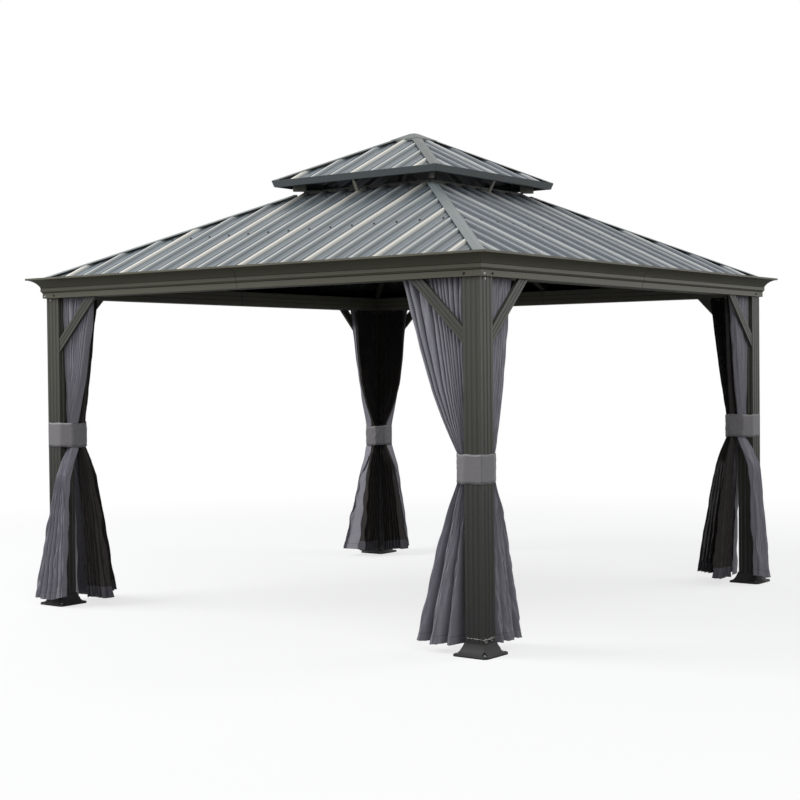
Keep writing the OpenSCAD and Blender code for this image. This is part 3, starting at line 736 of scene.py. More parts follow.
@dataclass
class FinishBook:
    """The gazebo's finishes, each built once."""

    # The beam and post coats are one paint in lit and shaded copies: the beams painted lighter, the posts
    # painted darker as painted shade, and darker still towards the foot.
    beam: PowderCoat = PowderCoat("beam_coat", srgb(90, 88, 73), 0.44, pale=srgb(99, 97, 81),
                                  joints=(2.0425, 2.0745), seam=0.0022)
    post: PowderCoat = PowderCoat("post_coat", srgb(70, 70, 62), 0.38, pale=srgb(79, 79, 70),
                                  low=srgb(48, 50, 48))
    foot: PowderCoat = PowderCoat("foot_coat", srgb(30, 31, 30), 0.66, pale=srgb(36, 37, 35),
                                  dust_amount=0.03)
    trim: PowderCoat = PowderCoat("upper_trim_coat", srgb(76, 83, 84), 0.42, pale=srgb(86, 93, 94))
    strut: PowderCoat = PowderCoat("strut_coat", srgb(120, 120, 110), 0.45, pale=srgb(132, 132, 122))
    inner: PowderCoat = PowderCoat("roof_frame_coat", srgb(50, 50, 46), 0.5, pale=srgb(58, 58, 52))
    # The two roof coats are one sheet in lit and shaded copies: the front and back painted lighter, the side
    # slopes painted darker as painted shade.
    front_back: SheetCoat = SheetCoat("roof_coat_front_back", srgb(72, 83, 90), 0.3, pale=srgb(82, 93, 100),
                                      crown=srgb(186, 189, 187), pan=srgb(108, 122, 133), across=Across.X)
    left_right: SheetCoat = SheetCoat("roof_coat_left_right", srgb(56, 68, 81), 0.3, pale=srgb(64, 76, 89),
                                      crown=srgb(160, 166, 170), lap=srgb(200, 202, 200),
                                      pan=srgb(78, 93, 109), across=Across.Y)
    caps: SheetCoat = SheetCoat("hip_cap_coat", srgb(94, 103, 105), 0.36, pale=srgb(104, 113, 115))
    crest: SheetCoat = SheetCoat("upper_cap_coat", srgb(66, 75, 73), 0.4, pale=srgb(76, 85, 82))
    closure: SheetCoat = SheetCoat("closure_coat", srgb(34, 35, 36), 0.6, pale=srgb(40, 41, 42))
    curtain: Cloth = Cloth("curtain_weave", srgb(146, 144, 154), 0.56, pale=srgb(158, 156, 166))
    band: Cloth = Cloth("tie_back_weave", srgb(124, 121, 124), 0.56, pale=srgb(136, 133, 136), hem=0.012,
                        crinkle=0.003)
    net: Mesh = Mesh("net_weave", srgb(56, 53, 52), 0.85)
    zinc: PlatedSteel = PlatedSteel("zinc_plate", srgb(168, 168, 164), 0.36)
    dark_steel: PlatedSteel = PlatedSteel("dark_steel", srgb(30, 30, 29), 0.6, pale=srgb(38, 38, 36),
                                          metal=0.1)
    built: dict[str, bpy.types.Material] = field(default_factory=dict)

    def get(self, finish: Finish) -> bpy.types.Material:
        """Material of a finish, built at its first use.

        Args:
            finish: One of this book's finishes.

        Returns:
            Its material.
        """
        if finish.name not in self.built:
            self.built[finish.name] = finish.build()
        return self.built[finish.name]


@dataclass
class FrameDress:
    """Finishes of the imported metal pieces."""

    book: FinishBook

    def finish_of(self, node: str) -> Finish | None:
        """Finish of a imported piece, or None for cloth that is replaced.

        Args:
            node: The piece's name.

        Returns:
            Its finish.
        """
        book = self.book
        if node.startswith(("lower_roof_", "upper_roof_")):
            return book.front_back if node.endswith(("_front", "_back")) else book.left_right
        inner = ("hip_rafters", "side_rafters", "purlins", "upper_rafters", "vent_ring")
        for starts, finish in ((("curtain_", "net_", "tie_back_"), None),
                               (("upper_hip_caps", "top_cap"), book.crest),
                               ("lower_hip_caps", book.caps), ("vent_struts", book.strut),
                               ("foot_", book.foot), (("post_", "braces_"), book.post),
                               ("upper_eave_trim", book.trim), (inner, book.inner)):
            if node.startswith(starts):
                return finish
        return book.beam

    def dress(self) -> None:
        """Give every packed metal piece its finish."""
        for node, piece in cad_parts.items():
            finish = self.finish_of(node)
            if finish is not None:
                piece.data.materials.clear()
                piece.data.materials.append(self.book.get(finish))
        LOG.info("dressed %d packed pieces", len(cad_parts))


@dataclass(frozen=True)
class LeafEdge:
    """One edge of a leaf at the beam, the shoulder, the tie-back, the knee and the hem."""

    top: float
    shoulder: float
    tie: float
    knee: float
    hem: float
    soft: bool = True

    def bend(self, middle: float, end: float, share: float) -> tuple[list[float], list[float]]:
        """Line from the tie-back to an end, bent at a share of the way.

        Args:
            middle: The edge's place at the bend.
            end: Its place at the end.
            share: Where the bend lies, from 0 to 1.

        Returns:
            Shares of the way and the places there.
        """
        if not self.soft:
            return [0.0, share, 1.0], [self.tie, middle, end]
        early, late = 0.55, 0.25
        a, b = early * share, share + late
        first = self.tie + (middle - self.tie) * early
        last = middle + (end - middle) * late / (1 - share)
        chord = first + (last - first) * (share - a) / (b - a)
        return [0.0, a, share, b, 1.0], [self.tie, first, (middle + chord) / 2, last, end]

    def at(self, z: np.ndarray, tie_z: float, leaf_top: float) -> np.ndarray:
        """The edge's place at some heights.

        Args:
            z: Heights.
            tie_z: Middle height of the tie-back.
            leaf_top: Height of the leaf's top.

        Returns:
            One place for each height.
        """
        upper, lower = tie_z + SIZES.tie_h / 2, tie_z - SIZES.tie_h / 2
        up, up_places = self.bend(self.shoulder, self.top, SIZES.shoulder_share)
        down, down_places = self.bend(self.knee, self.hem, SIZES.knee_share)
        heights = [lower - (lower - SIZES.hem_z) * s for s in down[::-1]] + \
            [upper + (leaf_top - upper) * s for s in up]
        return np.interp(z, heights, down_places[::-1] + up_places)


@dataclass
class Leaf:
    """A gathered leaf of cloth that hangs from a track and is held by a tie-back."""

    name: str
    node: str
    corner: int
    mirrored: bool
    near: LeafEdge
    far: LeafEdge
    outer: LeafEdge
    inner: LeafEdge
    flat_width: float
    folds: int
    broad_folds: int
    columns: int
    rows: int
    slot: Slot
    finish: Finish
    seed: int
    top_z: float = 2.0065
    opening: float = 0.32
    room_share: float = 0.97
    crumple: float = 0.0018
    hem_lift: float = 0.02
    hem_zone: float = 0.5

    def heights(self) -> np.ndarray:
        """Row heights from the hem up, closer together round the tie-back.

        Returns:
            One height for each row.
        """
        tie = SIZES.tie_z[self.corner]
        low, high = tie - SIZES.tie_h / 2, tie + SIZES.tie_h / 2
        part = self.rows // 5
        rest = self.rows - part
        below = np.linspace(SIZES.hem_z, low, rest // 2, endpoint=False)
        middle = np.linspace(low, high, part, endpoint=False)
        above = np.linspace(high, self.top_z, rest - rest // 2)
        return np.concatenate((below, middle, above))

    def turns(self, rng: np.random.Generator, u: np.ndarray, zc: np.ndarray) -> np.ndarray:
        """How many broad folds lie before each place, with uneven widths that sway with the height.

        Args:
            rng: Source of the random draws.
            u: Shares of the width, in a row.
            zc: Heights, in a column.

        Returns:
            One row for each height.
        """
        sway = sum(a * np.sin(2 * math.pi * (f * u + p) + q * zc)
                   for a, f, p, q in zip(rng.uniform(0.006, 0.018, 4), rng.uniform(1, 3, 4),
                                         rng.uniform(0, 1, 4), rng.uniform(-3, 3, 4)))
        away = np.abs(zc - SIZES.tie_z[self.corner]) - SIZES.tie_h / 2
        drift = u + sway * (0.2 + 1.6 * np.clip(away, 0, 0.8))
        widths = rng.uniform(0.65, 1.4, self.broad_folds)
        widths[-1] *= 1.3
        ends = np.concatenate(([0.0], np.cumsum(widths) / widths.sum()))
        counts = np.linspace(0, self.broad_folds + 0.4, self.broad_folds + 1)
        return np.interp(np.clip(drift, 0, 1), ends, counts)

    def half_depth(self, along: np.ndarray, shape: np.ndarray, room: np.ndarray) -> np.ndarray:
        """Half depth of each row's folds, as the flat width asks and the room allows.

        Args:
            along: The vertices' places along the beam.
            shape: The folds' outline, from -1 to 1.
            room: Half the space across, in a column.

        Returns:
            The half depths, in a column.
        """
        low, high = np.zeros(len(along)), self.room_share * room[:, 0]
        for _ in range(30):
            middle = (low + high) / 2
            run = np.hypot(np.diff(along, axis=1), np.diff(middle[:, None] * shape, axis=1)).sum(axis=1)
            short = run < self.flat_width
            low, high = np.where(short, middle, low), np.where(short, high, middle)
        return high[:, None]

    def pleats(self, z: np.ndarray) -> tuple[np.ndarray, np.ndarray]:
        """Plan places of the cloth, inside the space of its solid.

        Args:
            z: Row heights.

        Returns:
            The x and y of each vertex, one row for each height.
        """
        rng = np.random.default_rng(self.seed)
        tie = SIZES.tie_z[self.corner]
        edges = (self.near, self.far, self.outer, self.inner)
        x0, x1, y0, y1 = (edge.at(z, tie, SIZES.beam_z)[:, None] for edge in edges)
        u, zc = np.linspace(0, 1, self.columns)[None, :], z[:, None]
        opened = np.clip((tie - SIZES.tie_h / 2 - zc) / self.opening, 0, 1)
        opened = opened * opened * (3 - 2 * opened)
        turns = self.turns(rng, u, zc)
        depth = 1 + 0.16 * np.sin(2 * math.pi * (1.7 * u + rng.uniform()) + 1.5 * zc)
        wave = self.rolled(turns * self.folds / self.broad_folds)
        shape = depth * ((1 - opened) * wave + opened * self.rolled(turns))
        shape -= (shape.max(axis=1, keepdims=True) + shape.min(axis=1, keepdims=True)) / 2
        shape /= np.abs(shape).max(axis=1, keepdims=True)
        step, ends_held = (x1 - x0) / self.broad_folds, 4 * u * (1 - u)
        along = x0 + (x1 - x0) * u + 0.1 * step * np.sin(2 * math.pi * turns) * opened * ends_held
        room = (y1 - y0) / 2
        half = self.half_depth(along, shape, room)
        lean = (room - half) * np.sin(2 * math.pi * (0.8 * u + rng.uniform(0.0, 0.25))) * 0.8
        crumple = sum(np.sin(2 * math.pi * (self.flat_width * u / a + zc / b) + p)
                      for a, b, p in zip(rng.uniform(0.1, 0.3, 5),
                                         rng.choice([-1, 1], 5) * rng.uniform(0.12, 0.4, 5),
                                         rng.uniform(0, 6, 5)))
        across = (y0 + y1) / 2 + lean - half * shape + self.crumple * (0.5 + opened) * crumple
        return along, np.clip(across, y0, y1)

    @staticmethod
    def rolled(turns: np.ndarray) -> np.ndarray:
        """Outline of folds with broad round crests and narrow valleys, from -1 to 1.

        Args:
            turns: How many folds lie before each place.

        Returns:
            The outline there, 1 at the crests.
        """
        crest = 2 * (turns - np.floor(turns)) - 1
        return 1 - 0.35 * crest ** 2 - 1.65 * np.cos(math.pi * turns) ** 10

    def crease(self, along: np.ndarray, across: np.ndarray, z: np.ndarray) -> np.ndarray:
        """Heights of the vertices, with a hem that lifts a little where the cloth is drawn aside.

        Args:
            along: The vertices' places along the beam.
            across: Their places across it.
            z: Row heights.

        Returns:
            Their heights.
        """
        rng = np.random.default_rng(self.seed + 77)
        share = np.clip((z - SIZES.hem_z) / self.hem_zone, 0, 1)[:, None]
        wobble = 0.006 * np.sin(14 * along / 0.3 + rng.uniform(0, 6))
        wobble = wobble * np.sin(9 * across / 0.1 + rng.uniform(0, 6))
        u = np.linspace(0, 1, self.columns)[None, :]
        lift = 0.007 * (1 + np.sin(22 * along + rng.uniform(0, 6))) + self.hem_lift * u * u
        return z[:, None] + (1 - share) * (lift + 0.5 * np.abs(wobble))

    def build(self, book: FinishBook) -> bpy.types.Object:
        """Make the leaf, give it its finish, place it at its post and hide the packed solid it replaces.

        Args:
            book: The finishes.

        Returns:
            The leaf's object.
        """
        z = self.heights()
        along, across = self.pleats(z)
        height = self.crease(along, across, z)
        a, b = (across, along) if self.mirrored else (along, across)
        points = np.stack((a.ravel(), b.ravel(), height.ravel()), axis=1)
        u = np.broadcast_to(np.linspace(0, self.flat_width, self.columns)[None, :], along.shape)
        v = np.broadcast_to((z - SIZES.hem_z)[:, None], along.shape)
        piece = mesh_piece(self.name, moved(corner_matrix(self.corner), points),
                           grid_faces(self.columns, len(z)), np.stack((u.ravel(), v.ravel()), axis=1))
        piece.data.materials.append(book.get(self.finish))
        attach(piece, ROOT)
        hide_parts(self.node)
        LOG.info("made %s", self.name)
        return piece


@dataclass
class Drapes:
    """All curtain and netting leaves, two of each at every post."""

    book: FinishBook
    curtain_flat: float = 1.6
    net_flat: float = 1.5
    long_reach: float = 0.4
    outswung: tuple[tuple[int, bool], ...] = ((1, True), (3, False))
    hems: dict[tuple[int, bool], tuple[float, float]] = field(
        default_factory=lambda: {(0, False): (0.310, -0.064), (2, True): (0.280, -0.056)})

    def curtain(self, k: int, mirrored: bool) -> Leaf:
        """Curtain leaf at a corner.

        Args:
            k: Corner number.
            mirrored: Whether it hangs on the corner's second beam.

        Returns:
            The leaf.
        """
        name = f"curtain_{CORNERS[k]}"
        top, shoulder = SIZES.curtain_reach[k][mirrored]
        if (k, mirrored) in self.outswung:
            near = LeafEdge(0.060, 0.060, 0.060, 0.060, -0.144 if k == 3 else -0.040, soft=False)
            far = LeafEdge(top, shoulder, 0.131, 0.168, 0.157, soft=False)
            outer = LeafEdge(-0.033, -0.033, -0.024, -0.116, -0.148, soft=False)
            inner = LeafEdge(0.021, 0.041, 0.051, -0.063, -0.089, soft=False)
            folds, broad = 15, 5
        else:
            near = LeafEdge(0.060, 0.060, 0.060, 0.072, 0.120)
            wide, out = self.hems.get((k, mirrored), (0.357, -0.106))
            far = LeafEdge(top, shoulder, 0.131, 0.207 if top > self.long_reach else 0.188, wide)
            outer = LeafEdge(-0.033, -0.033, -0.024, -0.038, out)
            inner = LeafEdge(0.021, 0.041, 0.051, 0.049, 0.044)
            folds, broad = (10, 2) if top > self.long_reach else (11, 3)
        return Leaf(f"{name}_leaf_{1 + mirrored}", name, k, mirrored, near, far, outer, inner,
                    self.curtain_flat, folds, broad, columns=239, rows=80, slot=Slot.CURTAIN,
                    finish=self.book.curtain, seed=11 + 2 * k + mirrored)

    def net(self, k: int, mirrored: bool) -> Leaf:
        """Netting leaf at a corner.

        Args:
            k: Corner number.
            mirrored: Whether it hangs on the corner's second beam.

        Returns:
            The leaf.
        """
        name = f"net_{CORNERS[k]}"
        top, shoulder = SIZES.net_reach[k]
        near = LeafEdge(0.064, 0.086, 0.094, 0.105, 0.152)
        far = LeafEdge(top, shoulder, 0.137, 0.232, 0.356)
        outer = LeafEdge(0.029, 0.051, 0.059, 0.059, 0.059)
        inner = LeafEdge(0.053, 0.076, 0.084, 0.095, 0.137)
        return Leaf(f"{name}_leaf_{1 + mirrored}", name, k, mirrored, near, far, outer, inner,
                    self.net_flat, folds=36, broad_folds=6, columns=325, rows=50, slot=Slot.NET,
                    finish=self.book.net, seed=51 + 2 * k + mirrored)

    def build(self) -> list[bpy.types.Object]:
        """Make every leaf.

        Returns:
            The pieces.
        """
        leaves = [make(k, mirrored) for k in range(4) for mirrored in (False, True)
                  for make in (self.curtain, self.net)]
        return [leaf.build(self.book) for leaf in leaves]


@dataclass
class TieBack:
    """Cloth band round a post and its gathered leaves, rippled where it holds the leaves."""

    book: FinishBook
    corner: int
    thickness: float = 0.0016
    corner_r: float = 0.012
    columns: int = 160
    rows: int = 13

    def loop(self) -> np.ndarray:
        """Closed plan path of the band, in the corner's frame.

        Returns:
            Rows of x and y.
        """
        face, near, far = 0.0582, 0.060, 0.1412
        half = [(-face, -face), (near, -face), (0.1350, -0.0187), (far, 0.059), (far, 0.0885)]
        points = np.array(half + [(b, a) for a, b in half[:0:-1]])
        smooth = []
        for i, p in enumerate(points):
            before, after = points[i - 1], points[(i + 1) % len(points)]
            r = self.corner_r if i else 0.004
            a = p + (before - p) / np.linalg.norm(before - p) * min(r, np.linalg.norm(before - p) / 2)
            b = p + (after - p) / np.linalg.norm(after - p) * min(r, np.linalg.norm(after - p) / 2)
            t = np.linspace(0, 1, 7)[:, None]
            smooth.append((1 - t) ** 2 * a + 2 * t * (1 - t) * p + t ** 2 * b)
        path = np.concatenate(smooth)
        path = np.concatenate((path, path[:1]))
        run = np.concatenate(([0], np.cumsum(np.linalg.norm(np.diff(path, axis=0), axis=1))))
        at = np.linspace(0, run[-1], self.columns, endpoint=False)
        return np.stack((np.interp(at, run, path[:, 0]), np.interp(at, run, path[:, 1])), axis=1)

    def build(self) -> bpy.types.Object:
        """Make the band, give it its finish, place it and hide the packed solid it replaces.

        Returns:
            The band's object.
        """
        name = f"tie_back_{CORNERS[self.corner]}"
        rng = np.random.default_rng(200 + self.corner)
        loop = self.loop()
        ahead = np.roll(loop, -1, axis=0) - np.roll(loop, 1, axis=0)
        out = np.stack((ahead[:, 1], -ahead[:, 0]), axis=1)
        out /= np.linalg.norm(out, axis=1)[:, None]
        turn = np.linspace(0, 2 * math.pi, self.columns, endpoint=False)
        slack = np.clip((loop.sum(axis=1) + 0.02) / 0.12, 0, 1)
        rows = []
        for v in np.linspace(0, 1, self.rows):
            ripple = sum(a * np.sin(n * turn + p + q * v) for a, n, p, q in
                         zip((0.0012, 0.0009, 0.0006), (5, 11, 17), rng.uniform(0, 6, 3), (2.0, -3.0, 4.0)))
            roll = 0.0012 * (abs(2 * v - 1)) ** 6
            push = slack * ripple - roll * slack
            sag = slack * 0.004 * np.sin(2 * turn + rng.uniform(0, 0.2)) + 0.0015 * np.sin(7 * turn + 1.3 * v)
            z = SIZES.tie_z[self.corner] + (v - 0.5) * (SIZES.tie_h - 0.002) + sag
            rows.append(np.concatenate((loop + out * push[:, None], z[:, None]), axis=1))
        length = float(np.linalg.norm(ahead, axis=1).sum() / 2)
        u = np.tile(np.linspace(0, length, self.columns, endpoint=False), self.rows)
        v = np.repeat(np.linspace(0, SIZES.tie_h, self.rows), self.columns)
        piece = mesh_piece(f"{name}_band", moved(corner_matrix(self.corner), np.concatenate(rows)),
                           grid_faces(self.columns, self.rows, closed=True), np.stack((u, v), axis=1))
        thick = piece.modifiers.new("thickness", "SOLIDIFY")
        thick.thickness, thick.offset = self.thickness, 0.0
        piece = flattened(piece)
        piece.data.materials.append(self.book.get(self.book.band))
        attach(piece, ROOT)
        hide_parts(name)
        LOG.info("made %s", piece.name)
        return piece


def flattened(piece: bpy.types.Object) -> bpy.types.Object:
    """Replace a piece's mesh by its evaluated one and drop its modifiers.

    Args:
        piece: The object with modifiers.

    Returns:
        The same object with a plain mesh.
    """
    graph = bpy.context.evaluated_depsgraph_get()
    mesh = bpy.data.meshes.new_from_object(piece.evaluated_get(graph))
    piece.modifiers.clear()
    old = piece.data
    piece.data = mesh
    name = piece.name
    bpy.data.meshes.remove(old)
    mesh.name = name
    return piece


class PointTree:
    """Base of the geometry node trees that set one small thing on every point."""

    NAME = ""
    LENGTHS: dict[str, float] = {}
    SEED = 0

    def __init__(self) -> None:
        """Start the tree with named inputs for its sizes, its seed and its material."""
        self.tree = bpy.data.node_groups.new(self.NAME, "GeometryNodeTree")
        face = self.tree.interface
        face.new_socket("Geometry", in_out="INPUT", socket_type="NodeSocketGeometry")
        for key, value in self.LENGTHS.items():
            face.new_socket(key, in_out="INPUT", socket_type="NodeSocketFloat").default_value = value
        if self.SEED:
            face.new_socket("Seed", in_out="INPUT", socket_type="NodeSocketInt").default_value = self.SEED
        face.new_socket("Material", in_out="INPUT", socket_type="NodeSocketMaterial")
        face.new_socket("Geometry", in_out="OUTPUT", socket_type="NodeSocketGeometry")
        self.ins = self.tree.nodes.new("NodeGroupInput").outputs

    @classmethod
    def get(cls) -> Tree:
        """The tree, built at its first use."""
        return bpy.data.node_groups.get(cls.NAME) or cls().finish()

    def add(self, kind: str, **values: object) -> Sockets:
        """Add a node and return its outputs."""
        return NodeTools.add(self.tree, kind, **values).outputs

    def maths(self, operation: str, *operands: object) -> Socket:
        """Add a math node and return its output."""
        return NodeTools.maths(self.tree, operation, *operands)

    def raised(self, mesh: Socket, lift: Socket) -> Socket:
        """A mesh moved up."""
        up = self.add("ShaderNodeCombineXYZ", Z=lift)[0]
        return self.add("GeometryNodeTransform", Geometry=mesh, Translation=up)["Geometry"]

    def joined(self, *meshes: Socket) -> Socket:
        """One mesh of several.

        Args:
            meshes: The meshes, in their order.

        Returns:
            The joined mesh.
        """
        join = self.tree.nodes.new("GeometryNodeJoinGeometry")
        for mesh in meshes:
            self.tree.links.new(mesh, join.inputs[0])
        return join.outputs[0]

    def along_axis(self) -> Socket:
        """Rotation that turns +Z to the point's axis."""
        axis = self.add("GeometryNodeInputNamedAttribute", data_type="FLOAT_VECTOR", Name="axis")
        return self.add("FunctionNodeAlignRotationToVector", axis="Z", Vector=axis["Attribute"])["Rotation"]

    def spin(self, most: float) -> Socket:
        """Rotation about +Z by a random angle.

        Args:
            most: The largest angle, in radians.

        Returns:
            The rotation.
        """
        angle = NodeTools.add(self.tree, "FunctionNodeRandomValue", data_type="FLOAT", Seed=self.ins["Seed"])
        angle.inputs[3].default_value = most
        return self.add("FunctionNodeAxisAngleToRotation", Axis=(0.0, 0.0, 1.0),
                        Angle=angle.outputs[1])["Rotation"]

    def part(self) -> Socket:
        """The thing that is set on every point."""
        raise NotImplementedError

    def turn(self) -> Socket:
        """Its rotation there."""
        raise NotImplementedError

    def finish(self) -> Tree:
        """Set the thing on every point, make it real and give it its material.

        Returns:
            The tree.
        """
        seats = self.add("GeometryNodeInstanceOnPoints", Points=self.ins["Geometry"],
                         Instance=self.part(), Rotation=self.turn())
        real = self.add("GeometryNodeRealizeInstances", Geometry=seats["Instances"])
        paint = self.add("GeometryNodeSetMaterial", Geometry=real["Geometry"], Material=self.ins["Material"])
        outs = self.tree.nodes.new("NodeGroupOutput").inputs
        self.tree.links.new(paint["Geometry"], outs["Geometry"])
        return self.tree


class FixingTree(PointTree):
    """Geometry node tree that seats a hexagon head and its washer on every point."""

    NAME = "Seated hexagon heads"
    LENGTHS = {"Head radius": 0.006, "Head height": 0.005, "Washer radius": 0.009, "Washer height": 0.0015}
    SEED = 3

    def part(self) -> Socket:
        """A washer, a hexagon head and its domed top.

        Returns:
            The mesh.
        """
        head_r, head_h = self.ins["Head radius"], self.ins["Head height"]
        washer_r, washer_h = self.ins["Washer radius"], self.ins["Washer height"]
        washer = self.add("GeometryNodeMeshCone", Vertices=18, Radius_Bottom=washer_r,
                          Radius_Top=self.maths("MULTIPLY", washer_r, 0.88), Depth=washer_h)
        head = self.add("GeometryNodeMeshCylinder", Vertices=6, Radius=head_r, Depth=head_h)
        dome = self.add("GeometryNodeMeshCone", Vertices=12, Radius_Bottom=head_r,
                        Radius_Top=self.maths("MULTIPLY", head_r, 0.72),
                        Depth=self.maths("MULTIPLY", head_h, 0.25))
        middle = self.maths("ADD", washer_h, self.maths("MULTIPLY", head_h, 0.5))
        return self.joined(washer["Mesh"], self.raised(head["Mesh"], middle),
                           self.raised(dome["Mesh"], self.maths("ADD", washer_h, head_h)))

    def turn(self) -> Socket:
        """Along the axis, with the flats turned at random."""
        return self.add("FunctionNodeRotateRotation", rotation_space="LOCAL", Rotation=self.along_axis(),
                        Rotate_By=self.spin(2 * math.pi))["Rotation"]


class ClosureTree(PointTree):
    """Geometry node tree that stands a tapered plate across every point, square to its axis."""

    NAME = "Rib closures"
    LENGTHS = {"Base": 0.064, "Top": 0.02, "Height": 0.015, "Depth": 0.02}

    def part(self) -> Socket:
        """A block whose width narrows from the base to the top.

        Returns:
            The mesh.
        """
        height, base = self.ins["Height"], self.ins["Base"]
        size = self.add("ShaderNodeCombineXYZ", X=self.maths("MULTIPLY", height, 0.96),
                        Y=self.maths("MULTIPLY", base, 0.98), Z=self.ins["Depth"])
        block = self.add("GeometryNodeMeshCube", Size=size[0])
        at = NodeTools.split(self.tree, self.add("GeometryNodeInputPosition")[0])
        share = self.maths("ADD", self.maths("DIVIDE", at["X"], height), 0.5)
        slim = self.maths("SUBTRACT", self.maths("DIVIDE", self.ins["Top"], base), 1.0)
        taper = self.maths("ADD", self.maths("MULTIPLY", share, slim), 1.0)
        lift = self.maths("ADD", at["X"], self.maths("MULTIPLY", height, 0.5))
        where = self.add("ShaderNodeCombineXYZ", X=lift, Y=self.maths("MULTIPLY", at["Y"], taper), Z=at["Z"])
        return self.add("GeometryNodeSetPosition", Geometry=block["Mesh"], Position=where[0])["Geometry"]

    def turn(self) -> Socket:
        """Square to the axis, with the top upwards."""
        return self.add("FunctionNodeAlignRotationToVector", axis="X", pivot_axis="Z",
                        Vector=(0.0, 0.0, 1.0), Rotation=self.along_axis())["Rotation"]


class HookTree(PointTree):
    """Geometry node tree that hangs a wire ring and stem from every point."""

    NAME = "Track hooks"
    LENGTHS = {"Ring radius": 0.007, "Wire radius": 0.0014, "Stem length": 0.016}
    SEED = 5

    def part(self) -> Socket:
        """An upright ring of wire with a stem on top.

        Returns:
            The mesh.
        """
        ring_r, wire_r, stem_l = (self.ins[key] for key in self.LENGTHS)
        ring = self.add("GeometryNodeCurvePrimitiveCircle", Resolution=20, Radius=ring_r)
        wire = self.add("GeometryNodeCurvePrimitiveCircle", Resolution=8, Radius=wire_r)
        bent = self.add("GeometryNodeCurveToMesh", Curve=ring["Curve"], Profile_Curve=wire["Curve"])
        upright = self.add("GeometryNodeTransform", Geometry=bent["Mesh"], Rotation=(math.pi / 2, 0.0, 0.0))
        stem = self.add("GeometryNodeMeshCylinder", Vertices=8, Radius=wire_r, Depth=stem_l)
        lift = self.maths("MULTIPLY_ADD", stem_l, 0.5, ring_r)
        return self.joined(upright["Geometry"], self.raised(stem["Mesh"], lift))

    def turn(self) -> Socket:
        """Upright, and turned at random."""
        return self.spin(math.pi)


@dataclass
class FixingSet:
    """Fixings of one kind: where they sit, which way they point and how large they are."""

    name: str
    tree: Tree
    points: list[Point]
    axes: list[Point]
    material: bpy.types.Material
    slot: Slot
    inputs: dict[str, float]

    def build(self) -> bpy.types.Object:
        """Run the tree on the points and keep the result as a plain mesh.

        Returns:
            The piece.
        """
        piece = mesh_piece(self.name, np.array(self.points), [])
        axis = piece.data.attributes.new("axis", "FLOAT_VECTOR", "POINT")
        axis.data.foreach_set("vector", np.array(self.axes, dtype=np.float32).ravel())
        grown = piece.modifiers.new("fixings", "NODES")
        grown.node_group = self.tree
        sockets = {s.name: s.identifier for s in self.tree.interface.items_tree
                   if s.item_type == "SOCKET" and s.in_out == "INPUT"}
        for key, value in self.inputs.items():
            grown[sockets[key]] = value
        grown[sockets["Material"]] = self.material
        piece = flattened(piece)
        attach(piece, ROOT)
        LOG.info("made %s: %d faces", self.name, len(piece.data.polygons))
        return piece


def seated(spots: Iterable[tuple[Matrix, Point, Point]]) -> Places:
    """Places and directions in the part's frame.

    Args:
        spots: Matrix of a frame, with a place and a direction in it.

    Returns:
        The places and the directions.
    """
    points, axes = [], []
    for matrix, spot, axis in spots:
        points.append(tuple(matrix @ Vector(spot)))
        axes.append(tuple(matrix.to_3x3() @ Vector(axis)))
    return points, axes


